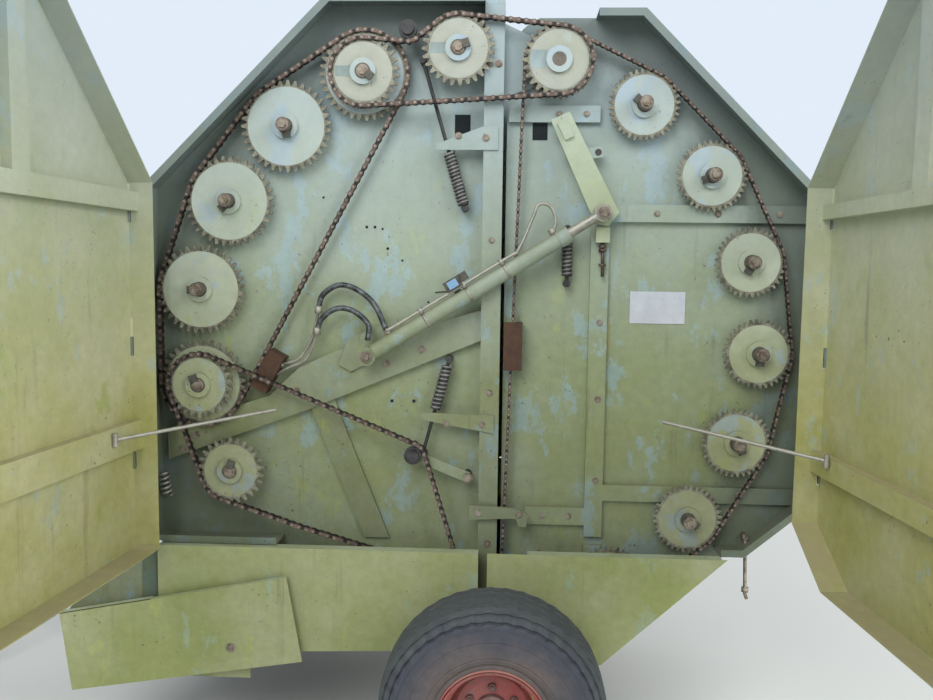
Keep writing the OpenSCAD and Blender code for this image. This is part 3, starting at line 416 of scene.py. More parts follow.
def drum(x, radius, reach, sides):
    """A pin or roller across the chain, as far as reach to each side."""
    turns = [i * math.tau / sides for i in range(sides)]
    outline = [(x + radius * math.cos(a), radius * math.sin(a)) for a in turns]
    return plate_mesh("drum", outline, -reach, reach)


def link(name, pitch, inner):
    """A link about its middle, along x, with its pins marked by a face attribute."""
    half = pitch * 0.33 if inner else pitch * 0.43
    parts = [side_plate(pitch, y) for y in (-half, half)]
    for x in (-pitch / 2, pitch / 2):
        if inner:
            parts.append(drum(x, pitch * 0.28, half, 8))
        else:
            parts.append(drum(x, pitch * 0.17, half + pitch * 0.12, 6))
    shape, pins = bmesh.new(), []
    for i, part in enumerate(parts):
        shape.from_mesh(part)
        pins += [i > 1 and not inner] * len(part.polygons)
        bpy.data.meshes.remove(part)
    mesh = bpy.data.meshes.new(name)
    shape.to_mesh(mesh)
    shape.free()
    mesh.attributes.new("pin", "BOOLEAN", "FACE").data.foreach_set("value", pins)
    made = bpy.data.objects.new(name, mesh)
    bpy.context.scene.collection.objects.link(made)
    made.hide_render = True
    return made


def chain_tree(name):
    """Geometry Nodes that lay two kinds of link in turn along a closed curve."""
    tree = bpy.data.node_groups.new(name, "GeometryNodeTree")
    kinds = {"Path": "Geometry", "Links": "Int", "Inner link": "Object", "Outer link": "Object",
             "Inner steel": "Material", "Outer steel": "Material", "Pin steel": "Material"}
    for label, kind in kinds.items():
        tree.interface.new_socket(label, in_out="INPUT", socket_type="NodeSocket" + kind)
    tree.interface.new_socket("Chain", in_out="OUTPUT", socket_type="NodeSocketGeometry")
    given = add(tree, "NodeGroupInput").outputs
    curve = add(tree, "GeometryNodeMeshToCurve", {0: given["Path"]}).outputs[0]
    spaced = add(tree, "GeometryNodeResampleCurve", {"Curve": curve, "Count": given["Links"]}).outputs[0]
    along = add(tree, "GeometryNodeInputTangent").outputs[0]
    turn = add(tree, "FunctionNodeAlignRotationToVector", {"Vector": along}, axis="X", pivot_axis="Y")
    index = add(tree, "GeometryNodeInputIndex").outputs[0]
    odd = add(tree, "ShaderNodeMath", {0: index, 1: 2.0}, operation="MODULO").outputs[0]
    even = add(tree, "ShaderNodeMath", {0: 1.0, 1: odd}, operation="SUBTRACT").outputs[0]
    rows = []
    for choice, kind in ((odd, "Inner "), (even, "Outer ")):
        shape = add(tree, "GeometryNodeObjectInfo", {"Object": given[kind + "link"]}).outputs["Geometry"]
        steel = {"Geometry": shape, "Material": given[kind + "steel"]}
        shape = add(tree, "GeometryNodeSetMaterial", steel).outputs[0]
        placed = {"Points": spaced, "Selection": choice, "Instance": shape, "Rotation": turn.outputs[0]}
        rows.append(add(tree, "GeometryNodeInstanceOnPoints", placed).outputs[0])
    both = add(tree, "GeometryNodeJoinGeometry", {0: rows[0]})
    tree.links.new(rows[1], both.inputs[0])
    real = add(tree, "GeometryNodeRealizeInstances", {0: both.outputs[0]}).outputs[0]
    pin = add(tree, "GeometryNodeInputNamedAttribute", {"Name": "pin"}, data_type="BOOLEAN").outputs[0]
    steel = {"Geometry": real, "Selection": pin, "Material": given["Pin steel"]}
    done = add(tree, "GeometryNodeSetMaterial", steel).outputs[0]
    add(tree, "NodeGroupOutput", {"Chain": done})
    return tree


def grown(name, source, tree, body, **values):
    """The plain mesh that a tree makes from a source mesh, riding on a body."""
    host = bpy.data.objects.new(name + "_host", source)
    bpy.context.scene.collection.objects.link(host)
    made = host.modifiers.new("grow", "NODES")
    made.node_group = tree
    sockets = {s.name: s.identifier for s in tree.interface.items_tree if s.in_out == "INPUT"}
    for key, value in values.items():
        made[sockets[key.replace("_", " ")]] = value
    graph = bpy.context.evaluated_depsgraph_get()
    mesh = bpy.data.meshes.new_from_object(host.evaluated_get(graph))
    bpy.data.objects.remove(host)
    mesh.name = name
    result = bpy.data.objects.new(name, mesh)
    bpy.context.scene.collection.objects.link(result)
    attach(result, body)
    return result


def lay_chain(name, node, loop, y, pitch, links, body):
    """A chain round a loop at depth y, in place of its CAD band, with an even number of links."""
    points = loop_path(loop)
    length = sum(math.dist(points[i], points[i - 1]) for i in range(len(points)))
    count = 2 * round(length / pitch / 2000)
    verts = [(p[0], y, p[1]) for p in (from_eye(x, z) for x, z in points)]
    path = bpy.data.meshes.new("path")
    path.from_pydata(verts, [(i, (i + 1) % len(verts)) for i in range(len(verts))], [])
    made = grown(name, path, laid, body, Links=count, Inner_link=links[0], Outer_link=links[1],
                 Inner_steel=plate_black, Outer_steel=chain_steel, Pin_steel=pin_bright)
    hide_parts(node)


def circle(angle, radius):
    """Circle of a loop round the roller at an angle."""
    turn = math.radians(angle)
    return (ring_radius * math.cos(turn), ring_radius * math.sin(turn), radius)


laid = chain_tree("roller_chain")
main_wheel = pitch_radius(main_teeth, front_pitch) * 1000
tail_wheel = pitch_radius(tail_teeth, tail_pitch) * 1000
large_links = (link("inner_link", front_pitch, True), link("outer_link", front_pitch, False))
small_links = (link("inner_link_small", tail_pitch, True), link("outer_link_small", tail_pitch, False))
top_loop = [circle(front_angles[1], large_wheel), circle(tail_angles[0], large_wheel),
            circle(front_angles[0], large_wheel), (-227, 1004, -idler)]
front_loop = [circle(a, main_wheel) for a in front_angles[1:6]]
low_loop = [circle(front_angles[5], small_wheel), circle(front_angles[6], small_wheel), (-560, -565, bend),
            (-240, -790, -idler), circle(low_angle, small_wheel), (-201, -395, idler)]
tail_loop = [circle(a, tail_wheel) for a in (tail_angles[0], *reversed(tail_angles[1:]))]
lay_chain("top_chain", "chain_top", top_loop, outer_y, front_pitch, large_links, "root")
lay_chain("front_chain", "chain_front", front_loop, inner_y, front_pitch, large_links, "root")
lay_chain("low_chain", "chain_low", low_loop, outer_y, front_pitch, large_links, "root")
lay_chain("tail_chain", "chain_tail", tail_loop, inner_y, tail_pitch, small_links, "tailgate")
for shape in (*large_links, *small_links):
    bpy.data.objects.remove(shape)

# Springs, pipes and hoses. Coiled wire on the tensioners, cold-drawn hydraulic pipe of 10 mm in
# clips, and two short pressed hoses that let the tailgate's cylinder swing on its pivot.
coil_steel = greasy("coil_steel", "#6b6b6b", "#93918b", 0.4)
pipe_radius, hose_radius = 0.0055, 0.0095


def at(x, y, z):
    """A point in mm round the chamber's middle, in metres from the eye."""
    return Vector(((x + chamber_x) / 1000, y / 1000, (z + chamber_z) / 1000))


def tube_mesh(points, radius, sides=10):
    """A round tube with closed ends along points in metres."""
    verts, faces = [], []
    points = [Vector(p) for p in points]
    side = Vector((0.31, 0.87, 0.39))
    for i, p in enumerate(points):
        along = (points[min(i + 1, len(points) - 1)] - points[max(i - 1, 0)]).normalized()
        side = (side - along * side.dot(along)).normalized()
        other = along.cross(side)
        for k in range(sides):
            a = math.tau * k / sides
            verts.append(p + (side * math.cos(a) + other * math.sin(a)) * radius)
    for i in range(len(points) - 1):
        for k in range(sides):
            n = (k + 1) % sides
            faces.append((i * sides + k, i * sides + n, (i + 1) * sides + n, (i + 1) * sides + k))
    faces.append(tuple(reversed(range(sides))))
    faces.append(tuple(range((len(points) - 1) * sides, len(points) * sides)))
    mesh = bpy.data.meshes.new("tube")
    mesh.from_pydata(verts, [], faces)
    mesh.polygons.foreach_set("use_smooth", [len(f) == 4 for f in faces])
    return mesh


def smooth_line(points, steps=8):
    """A Catmull-Rom line through points."""
    ends = [points[0] * 2 - points[1], *points, points[-1] * 2 - points[-2]]
    line = []
    for i in range(1, len(ends) - 2):
        a, b, c, d = ends[i - 1 : i + 3]
        for k in range(steps):
            t = k / steps
            line.append(0.5 * (2 * b + (c - a) * t + (2 * a - 5 * b + 4 * c - d) * t * t
                               + (3 * b - a - 3 * c + d) * t ** 3))
    return line + [points[-1]]


def coil_mesh(a, b, radius, wire, turns):
    """A coil spring of round wire from a to b."""
    along = (b - a).normalized()
    side = along.cross(Vector((0.1, 1, 0.2))).normalized()
    other = along.cross(side)
    steps = int(turns * 14)
    line = []
    for i in range(steps + 1):
        turn = math.tau * turns * i / steps
        line.append(a + (b - a) * (i / steps) + (side * math.cos(turn) + other * math.sin(turn)) * radius)
    return tube_mesh(line, wire / 2, 6)


def between(a, b, start, end):
    """Points start and end mm along the way from a to b."""
    along = (b - a).normalized()
    return a + along * start / 1000, a + along * end / 1000


rod_top, rod_foot = at(-181, -648, 915), at(-38, -648, 436)
rod_long = (rod_foot - rod_top).length * 1000
coils = [coil_mesh(*between(rod_top, rod_foot, rod_long - 186, rod_long - 10), 0.0185, 0.007, 15),
         coil_mesh(*between(at(-84, -648, -70), at(-171, -648, -396), 22, 178), 0.0175, 0.0075, 11)]
joined("front_springs", coils, coil_steel, "root")
coil = coil_mesh(*between(at(304, -640, 372), at(306, -640, 190), 24, 158), 0.0175, 0.0065, 10)
joined("tail_spring", [coil], coil_steel, "tailgate")
coil = coil_mesh(at(-1077, -640, -484), at(-1066, -640, -566), 0.0165, 0.0085, 5)
joined("door_spring", [coil], zinc, "root")

# Pipes on the wall and along the cylinder. Zinc-plated, bent cold, held by welded clips, with hex
# ferrules where the hoses start.
pipes = [
    smooth_line([at(-529, -648, 90), at(-540, -642, 40), at(-556, -640, -14), at(-600, -640, -78),
                 at(-652, -636, -96)]),
    smooth_line([at(-531, -664, 18), at(-548, -652, -30), at(-578, -644, -82), at(-640, -640, -112),
                 at(-700, -638, -142), at(-770, -636, -150)]),
]
joined("oil_pipes", [tube_mesh(line, pipe_radius) for line in pipes], zinc, "root")
ferrules = [tube_mesh([at(-529, -648, 78), at(-529, -648, 104)], 0.013, 6),
            tube_mesh([at(-531, -664, 6), at(-531, -664, 32)], 0.013, 6),
            tube_mesh([at(-652, -636, -96), at(-668, -636, -100)], 0.012, 6)]
joined("hose_ferrules", ferrules, zinc, "root")

cylinder_foot = at(-357, -692, -60)
axis = Vector((772, 0, 481)).normalized()
over = Vector((-axis.z, 0, axis.x))


def by_barrel(s, n, y=0.0):
    """A point beside the left cylinder: s mm along it, n mm over its axis, y mm towards the left."""
    return cylinder_foot + (axis * s + over * n + Vector((0, -y, 0))) / 1000


feed = smooth_line([by_barrel(104, 44, 10), by_barrel(150, 37, 12), by_barrel(560, 37, 12),
                    by_barrel(612, 40, 8), at(186, -692, 400), at(206, -690, 446), at(244, -690, 440),
                    at(262, -692, 396), by_barrel(738, 30)])
parts = [tube_mesh(feed, pipe_radius)]
parts += [tube_mesh([by_barrel(s, 0), by_barrel(s + 10, 0)], 0.0275, 20) for s in (230, 396, 540)]
parts += [tube_mesh([by_barrel(s, 24, 12), by_barrel(s, 46, 12)], 0.008, 8) for s in (235, 401, 545)]
parts += [tube_mesh([by_barrel(s, 24), by_barrel(s, 44)], 0.012, 6) for s in (104, 738)]
joined("barrel_pipe", parts, zinc, "barrel_left")

# The two hoses. Black rubber over wire braid, 19 mm across, grey with dust: each arches from its
# ferrule on the wall to the cylinder's foot.
hose_rubber = greasy("hose_rubber", "#2c2d2e", "#6f7475", 0.4)
hoses = {
    "upper_hose": [at(-529, -648, 96), at(-515, -646, 140), at(-470, -646, 172), at(-425, -650, 172),
                   at(-372, -660, 146), at(-330, -672, 104), by_barrel(104, 44, 10)],
    "lower_hose": [at(-531, -664, 22), at(-515, -664, 60), at(-480, -664, 90), at(-440, -666, 98),
                   at(-396, -672, 84), at(-352, -690, 44), by_barrel(34, 44, 16)],
}
for name, points in hoses.items():
    line = smooth_line(points, 7)
    hose = piece(name, tube_mesh(line, hose_radius, 12), hose_rubber)
    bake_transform(hose)

# Valve on the cylinder. An oily iron block with its spindle and lever, and a plain blue tag on the
# side that faces out.


def box_mesh(middle, size, turn=None):
    """A box about its middle, in metres, turned by a matrix."""
    mesh = bpy.data.meshes.new("box")
    shape = bmesh.new()
    bmesh.ops.create_cube(shape, size=1.0)
    for v in shape.verts:
        v.co = Vector((v.co.x * size[0], v.co.y * size[1], v.co.z * size[2]))
        v.co = (turn @ v.co if turn else v.co) + middle
    shape.to_mesh(mesh)
    shape.free()
    return mesh


lie = Matrix.Rotation(-math.atan2(axis.z, axis.x), 3, "Y")
valve = [box_mesh(by_barrel(372, 56, 4), (0.058, 0.040, 0.036), lie),
         box_mesh(by_barrel(414, 60, 2), (0.026, 0.030, 0.028), lie),
         tube_mesh([by_barrel(372, 26, 4), by_barrel(372, 44, 4)], 0.012, 8),
         tube_mesh([by_barrel(344, 44, 14), by_barrel(308, 62, 18)], 0.003, 6)]
joined("oil_valve", valve, greasy("oily_iron", "#3f3d38", "#5f5c52", 0.45), "barrel_left")
blue = enamel("blue_paint", "#4c86b4", "#7ea6c4", "#9fb6c4", "#4b5a60", patches=0.7)
joined("blue_tag", [box_mesh(by_barrel(372, 56, 25), (0.034, 0.003, 0.026), lie)], blue, "barrel_left")

# Tyres and rims. Implement tyre 10.0/80-12 in carbon-black rubber gone grey with dust: ribs with wavy
# grooves round the tread, fine rings on the side wall. Pressed rim in red enamel with a rolled flange,
# on six nuts.
axle_x, axle_z = chamber_x + 82, chamber_z - 1126  # in mm from the drawbar eye
wheel_out = 0.948  # middle of each tyre from the middle of the machine, in metres
rib_waves, rib_sway = 40, 0.0045
nut_ring, valve_ring = 0.079, 0.148
field_dust, blotch_size = 29.41, 90.91  # across the marks in the dust, in mm


def dusty_rubber(name):
    """Tyre rubber: a browner dust towards the rim, darker rubbed shoulders, grey dust on the tread."""
    material, tree, shader = blank(name)
    place = add(tree, "ShaderNodeTexCoord").outputs["Object"]
    noise = {"Vector": place, "Scale": 1000 / field_dust, "Detail": 7.0, "Roughness": 0.62}
    dust = add(tree, "ShaderNodeTexNoise", noise).outputs[0]
    noise = {"Vector": place, "Scale": 1000 / blotch_size, "Detail": 5.0, "Roughness": 0.65}
    blotch = add(tree, "ShaderNodeTexNoise", noise).outputs[0]
    radius = {0: blotch, 1: 0.16, 2: distance_from(tree, place, axle_x, axle_z)}
    radius = add(tree, "ShaderNodeMath", radius, operation="MULTIPLY_ADD").outputs[0]
    colour = layered(tree, linear("#5f5653"), linear("#3e4049"), (radius, 0.27, 0.37, 0, 1))
    colour = layered(tree, colour, linear("#484d4e"), (radius, 0.385, 0.43, 0, 1))
    colour = shaded(tree, colour, dust, 0.3, 0.72, 0.82, 1.12)
    tree.links.new(colour, shader.inputs["Base Color"])
    shader.inputs["Roughness"].default_value = 0.78
    bump = add(tree, "ShaderNodeBump", {"Strength": 0.2, "Distance": 0.002, "Height": dust})
    tree.links.new(bump.outputs[0], shader.inputs["Normal"])
    return material


def by_axle(radius, turn, y):
    """A point beside the axle, in metres from the eye."""
    return (axle_x / 1000 + radius * math.cos(turn), y, axle_z / 1000 + radius * math.sin(turn))


def turned(name, profile, material, body, y, steps=144):
    """A body turned about the axle from points (radius, y, sway) in metres; sway is 1 where y waves."""
    verts, faces = [], []
    count = len(profile)
    for i in range(steps):
        a = math.tau * i / steps
        wave = rib_sway * math.sin(a * rib_waves)
        for r, across, sway in profile:
            verts.append(by_axle(r, a, y + across + sway * wave))
    for i in range(steps):
        n = (i + 1) % steps
        for k in range(count):
            m = (k + 1) % count
            faces.append((i * count + k, n * count + k, n * count + m, i * count + m))
    mesh = bpy.data.meshes.new(name)
    mesh.from_pydata(verts, [], faces)
    shape = bmesh.new()
    shape.from_mesh(mesh)
    bmesh.ops.recalc_face_normals(shape, faces=shape.faces)
    shape.to_mesh(mesh)
    shape.free()
    return piece(name, mesh, material, body)


def steady(points):
    """Points of a profile that don't sway."""
    return [(r, w, 0) for r, w in points]


def other_side(points):
    """The same stretch of a profile on the other side of the wheel, run back."""
    return [(r, -w, sway) for r, w, sway in reversed(points)]


rubber = dusty_rubber("dusty_rubber")
coat_nodes(rubber, "tyre_left", "tyre_right")
rim_enamel = enamel("rim_enamel", "#96423c", "#a3706a", "#8a6f69", "#5a4038", patches=0.58,
                    seed=1.4, deep=1.0)
coat_nodes(rim_enamel, "rim_left", "rim_right")
nut_steel = greasy("wheel_nut", "#6d4d49", "#86706b", 0.5)
side_wall = steady([
    (0.1575, 0.109), (0.170, 0.114), (0.183, 0.112), (0.192, 0.121), (0.205, 0.1275), (0.208, 0.1265),
    (0.213, 0.130), (0.232, 0.1315), (0.254, 0.131), (0.258, 0.1295), (0.262, 0.131), (0.280, 0.1295),
    (0.292, 0.128), (0.295, 0.1245), (0.305, 0.124)])
shoulder = [(0.312, 0.1215, 1), (0.309, 0.1140, 1), (0.315, 0.1130, 1), (0.3200, 0.1180, 1),
            (0.332, 0.1090, 1), (0.3275, 0.1030, 1), (0.334, 0.0980, 1), (0.3395, 0.1010, 1),
            (0.343, 0.094, 0)]
half_tyre = side_wall + shoulder + [(0.349, 0.082, 0)]
grooves = []
for centre in (0.070, 0.0235, -0.0235, -0.070):
    top = 0.354 if abs(centre) < 0.05 else 0.351
    grooves += [(top, centre + 0.0085, 1), (top - 0.013, centre + 0.0045, 1),
                (top - 0.013, centre - 0.0045, 1), (top, centre - 0.0085, 1)]
tyre_ring = half_tyre + grooves + other_side(half_tyre)
rim_front = steady([(0.168, 0.1235), (0.172, 0.121), (0.172, 0.117), (0.160, 0.112), (0.157, 0.098),
                    (0.156, 0.074), (0.141, 0.066), (0.139, 0.034)])
rim_back = steady([(0.134, 0.032), (0.136, 0.070), (0.150, 0.079), (0.152, 0.100), (0.154, 0.116),
                   (0.164, 0.1225)])
# The back runs out from the middle on each side, which leaves a narrow open seam along the flange
rim_ring = rim_front + other_side(rim_front) + other_side(rim_back)[::-1] + rim_back[::-1]
dish = [(0.1385, 0.006), (0.128, 0.016), (0.112, 0.030), (0.092, 0.034), (0.066, 0.030), (0.040, 0.030)]
hub = [(0.012, 0.074), (0.030, 0.074), (0.036, 0.068), (0.037, 0.052), (0.052, 0.046), (0.054, 0.034),
       (0.054, -0.058), (0.026, -0.058)]
for side, name in ((-1, "left"), (1, "right")):
    y = side * wheel_out
    body = "wheel_" + name
    tyre = turned("rubber_" + name, tyre_ring, rubber, body, y, 180)
    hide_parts("tyre_" + name)
    shell = turned("rim_shell_" + name, rim_ring, rim_enamel, body, y, 96)
    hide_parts("rim_" + name)
    disc = [(r, w * side) for r, w in dish] + [(r, (w - 0.008) * side) for r, w in reversed(dish)]
    turned("rim_disc_" + name, steady(disc), rim_enamel, body, y, 72)
    turned("hub_" + name, steady([(r, w * side) for r, w in hub]), nut_steel, body, y, 40)
    nuts = []
    for i in range(6):
        a = math.radians(30 + 60 * i)
        for reach, radius, sides in ((0.047, 0.0135, 6), (0.056, 0.007, 8)):
            ends = [by_axle(nut_ring, a, y + 0.030 * side), by_axle(nut_ring, a, y + reach * side)]
            nuts.append(tube_mesh(ends, radius, sides))
    ends = [by_axle(valve_ring, 0.9, y + 0.070 * side), by_axle(valve_ring, 0.9, y + 0.104 * side)]
    nuts.append(tube_mesh(ends, 0.004, 8))
    joined("wheel_nuts_" + name, nuts, nut_steel, body)

# Shaft ends and flange bolts of the rollers. Zinc-plated hex bolts gone brown, with washers, a greased
# collar on each shaft, and a dark box for the square end of its key that also paints the shadow beside it.
brown_zinc = greasy("brown_zinc", "#6b5d50", "#9a9284", 0.42)
hub_grease_and_shadow = greasy("hub_grease_and_shadow", "#4b4b45", "#6b6960", 0.55)
flange_y, flange_ring = 0.6238, 0.049


def bolt(p, size, side=-1.0, washer=True):
    """A hex head with its washer, standing out along y from point p."""
    out = Vector((0, side, 0))
    parts = [tube_mesh([p, p + out * size * 0.65], size * 0.95, 6)]
    if washer:
        parts.append(tube_mesh([p - out * 0.001, p + out * size * 0.14], size * 1.35, 16))
    return parts


for name, angles, body, proud in (("front", (*front_angles, low_angle), "root", 0.017),
                                  ("tail", tail_angles[1:], "tailgate", 0.015)):
    heads, rings = [], []
    for angle in angles:
        x, z = ring_point(angle)
        heads += bolt(Vector((x, -0.7, z)), 0.015)
        face = (outer_y if angle in (*top_wheels, *low_wheels) else inner_y) - proud
        rings.append(tube_mesh([(x, face + 0.001, z), (x, face - 0.0008, z)], 0.0255, 24))
        # A dark box for the key's square end, which also paints the shadow beside it
        turn = Matrix.Rotation(angle * 0.7, 3, "Y")
        key = Vector((x, face - 0.006, z)) + turn @ Vector((-0.027, 0, -0.004))
        rings.append(box_mesh(key, (0.024, 0.014, 0.026), turn))
        for side in (-1, 1):
            for k in range(4):
                a = math.radians(45 + 90 * k)
                p = Vector((x + flange_ring * math.cos(a), side * flange_y, z + flange_ring * math.sin(a)))
                heads += bolt(p, 0.008, side, False)
    joined(name + "_shaft_bolts", heads, brown_zinc, body)
    joined(name + "_hub_grease", rings, hub_grease_and_shadow, body)

# Bolts of the beams, posts and brackets: zinc-plated hex heads of 15 to 27 mm across the corners, gone
# brown. Each stands on its plate at a point (x, y, z) in mm, with its size.
frame_bolts = [
    (-357, -715, -60, 14), (-1010, -633, -402, 10), (-960, -633, -350, 10), (-610, -633, -190, 10),
    (-420, -633, -110, 10), (-180, -633, -40, 10), (-300, -633, -90, 10), (-90, -667, -286, 8),
    (30, -667, -288, 8), (-60, -667, 668, 9), (30, -667, 662, 9), (-14, -675, -470, 12), (160, -683, -590, 9),
    (24, -683, -588, 9), (40, -661, 900, 9), (68, -661, 900, 9), (54, -661, -180, 8), (54, -661, -700, 9),
    (54, -661, 330, 8),
]
gate_bolts = [(415, -727, 421, 14)]
gate_bolts += [(420, -627, z, 8) for z in (300, 60, -200, -480)]
gate_bolts += [(x, -627, 425, 8) for x in (600, 800, 1000)]
gate_bolts += [(x, -627, 748, 8) for x in (270, 360)]
gate_bolts += [(x, -627, -606, 8) for x in (240, 330)]
gate_bolts += [(x, -627, -520, 8) for x in (700, 900)]
for name, places, body in (("frame_bolts", frame_bolts, "root"), ("gate_bolts", gate_bolts, "tailgate")):
    heads = []
    for x, y, z, size in places:
        heads += bolt(at(x, y, z), size / 1000)
    joined(name, heads, brown_zinc, body)

# Plates and holes on the walls. Two bare plates of painted sheet, and thin dark plates on the wall that
# paint the shade seen in two punched windows and in the small drilled holes.
hole_shade = greasy("hole_shade", "#272d30", "#343b3e", 0.8)
white = enamel("plate_white", "#c9cbd0", "#d8dade", "#b9bcc4", "#8e8f88", patches=0.62, runs=0.7, rust=0.8)
ochre = enamel("plate_ochre", "#a09a52", "#aaa56a", "#98a486", "#6d6a40", patches=0.7)
joined("blank_plate", [box_mesh(at(614, -608, 113), (0.184, 0.0016, 0.108))], white, "tailgate")
joined("small_plate", [box_mesh(at(430, -607.5, 20), (0.052, 0.0012, 0.1))], ochre, "tailgate")
joined("wall_hole_front", [box_mesh(at(-50, -606.6, 716), (0.052, 0.0014, 0.062))], hole_shade, "root")
joined("wall_hole_tail", [box_mesh(at(208, -606.6, 700), (0.05, 0.0014, 0.07))], hole_shade, "tailgate")
drilled = ((-372, 372, 5), (-344, 372, 5), (-318, 366, 4), (-300, 300, 5), (-283, -222, 6), (-207, -221, 6),
           (-520, 470, 4), (-160, 120, 4), (-250, 260, 4))
spots = [tube_mesh([at(x, -605.8, z), at(x, -606.7, z)], r / 1000, 12) for x, z, r in drilled]
joined("drilled_holes", spots, hole_shade, "root")

# Faces of the three top chain wheels. Steel plate in a warmer khaki that paints the sunlight on them,
# with a pale slot from the hub to the rim.
sunlit_khaki = enamel("wheel_khaki", "#9f9b72", "#aba78b", "#a3aca0", "#7a7458", patches=0.6, runs=0.7,
               seed=4.4, pale=0.3)
discs, slots = [], []
for angle, tall in zip(top_wheels, (0.034, 0.034, 0.058)):
    x, z = ring_point(angle)
    discs.append(tube_mesh([(x, -0.6862, z), (x, -0.687, z)], 0.0935, 48))
    slots.append(box_mesh(Vector((x - 0.066, -0.6869, z + 0.002)), (0.05, 0.0014, tall)))
joined("wheel_faces", discs, sunlit_khaki, "root")
joined("wheel_slots", slots, wall_enamel, "root")

# Fittings of the doors. Bent zinc-plated handles on plates outside the shut doors, and upright
# stiffeners of folded sheet inside all four, from the upper rib to the top edge.
skin_y = 808
stiff_wide, stiff_deep = 70, 32
for name, x in (("door_front_right", -60), ("door_rear_right", 150)):
    parts = []
    for z in (-160, 560):
        bent = [at(x, skin_y + 22, z + 8), at(x, skin_y + 24, z - 40), at(x, skin_y + 18, z - 66)]
        parts.append(box_mesh(at(x, skin_y + 1.5, z), (0.05, 0.004, 0.11)))
        parts.append(tube_mesh([at(x, skin_y, z), at(x, skin_y + 22, z)], 0.008, 10))
        parts.append(tube_mesh(smooth_line(bent, 4), 0.007, 8))
    joined("latch_" + name, parts, brown_zinc, name)
for end, hinge, start, low, high, opened in (("front", -1106, 532, 464, 1018, -95.3),
                                             ("rear", 1106, -570, 441, 988, 94.1)):
    for side, y, angle in (("left", -skin_y, opened), ("right", skin_y, 0)):
        turn = Matrix.Rotation(math.radians(angle), 3, "Z")
        inset = math.copysign(2 + stiff_deep / 2, -y)
        middle = at(hinge, y, 0) + turn @ Vector((start + stiff_wide / 2, inset, (low + high) / 2)) / 1000
        bar = box_mesh(middle, (stiff_wide / 1000, stiff_deep / 1000, (high - low) / 1000), turn)
        joined(f"stiffener_{end}_{side}", [bar], door_enamel, f"door_{end}_{side}")

# Edges of folded and welded steel. Rolled, sawn and ground edges are rounded at 1.5 mm, which gives
# the light a line to catch.
edge_radius = 0.0015
for name in ("main_frame", "wall_beams", "drawbar", "gearbox", "twine_box", "axle", "skirts_front",
             "skirts_rear", "lever_arms", "front_tensioners", "tail_tensioners", "tail_lamps", "jack_tube",
             "jack_leg"):
    soft = nodes[name].modifiers.new("edge", "BEVEL")
    soft.width = edge_radius
    soft.segments = 2
    soft.limit_method = "ANGLE"
    soft.angle_limit = math.radians(50)

# Tensioners. Rusty rubbing blocks on the front and tailgate chains, and the painted flat arms of the
# idlers, as thin skins over the CAD pieces.
block_steel = greasy("rusty_block", "#46342a", "#5f4536", 0.55)
wheel_x, wheel_z, _ = front_loop[4]
away = leave(front_loop, 4)
outward = Vector((math.cos(away), 0, math.sin(away)))
onward = Vector((-math.sin(away), 0, math.cos(away)))
block = at(wheel_x, -637.8, wheel_z) + outward * (main_wheel + 37.8) / 1000 + onward * 0.150
along = Matrix.Rotation(-away, 3, "Y")
joined("front_block", [box_mesh(block, (0.0592, 0.0616, 0.1412), along)], block_steel, "root")
joined("tail_block", [box_mesh(at(130, -663.1, -22), (0.0612, 0.0172, 0.1612))], block_steel, "tailgate")
tilt = Matrix.Rotation(math.atan2(70, 176), 3, "Y")
joined("front_arm", [box_mesh(at(-102, -665, -435), (0.191, 0.0072, 0.0352), tilt)], wall_enamel, "root")
tilt = Matrix.Rotation(-math.atan2(17, 112), 3, "Y")
joined("tail_arm", [box_mesh(at(356, -651, 613.5), (0.1145, 0.0092, 0.0352), tilt)], wall_enamel, "tailgate")

# Rods on the tailgate. A threaded M12 rod with three nuts in a welded block under the lever's foot,
# and the drag rod that hangs from a pin at the rear corner.
joined("adjuster_block", [box_mesh(at(420, -642, 352), (0.046, 0.03, 0.05))], lever_enamel, "tailgate")
rod = [tube_mesh([at(421, -644, 330), at(423, -644, 214)], 0.006, 8)]
rod += [tube_mesh([at(421.5, -644, z), at(421.5, -644, z - 9)], 0.0125, 6) for z in (318, 306, 258)]
joined("adjusting_rod", rod, chain_steel, "tailgate")
drag = [at(930, -636, -655), at(930, -640, -690), at(936, -640, -858), at(940, -650, -872)]
drag_parts = [tube_mesh(drag, 0.006, 8), tube_mesh([at(930, -606, -662), at(930, -644, -662)], 0.01, 8),
              tube_mesh([at(935.5, -640, -835), at(936, -640, -850)], 0.013, 6)]
joined("hanging_rod", drag_parts, brown_zinc, "tailgate")

# Sheets at the front corner. The sheet and post that close the skirt forwards behind the guard, the
# strut's head on the wall, and the ledge folded inwards along the top of the pickup's guard.


def cut_sheet(name, points, y, thick, material):
    """A flat plate on the frame from corners in mm of the side view, its inner face at depth y."""
    outline = [from_eye(x, z) for x, z in points]
    joined(name, [plate_mesh(name, outline, (y - thick) / 1000, y / 1000)], material, "root")


cheek = [(-1390, -965), (-1330, -880), (-1189, -770), (-1116, -725), (-1119, -905)]
cut_sheet("skirt_cheek", cheek, -729, 3, frame_enamel)
# The post is in a dark green that paints the shade it stands in behind the guard
shadow = enamel("shaded_enamel", "#46523c", "#566049", "#4f5f52", "#33382a", deep=1.0)
cut_sheet("skirt_post", [(-1119, -905), (-1116, -725), (-1060, -696), (-1063, -905)], -727, 8, shadow)
cut_sheet("brace_top", [(-516, -362), (-436, -334), (-480, -216), (-562, -250)], -606.3, 14.3, frame_enamel)
tilt = Matrix.Rotation(-math.atan2(148, 779), 3, "Y")
ledge = [box_mesh(at(-1234, -762, -916.5), (0.325, 0.026, 0.003), tilt),
         box_mesh(at(-1000, -768, -872), (0.79, 0.014, 0.003), tilt)]
joined("guard_ledge", ledge, skirt_enamel, "pickup")
joined("guard_bolts", bolt(at(-803, -775, -1046), 0.012), brown_zinc, "pickup")

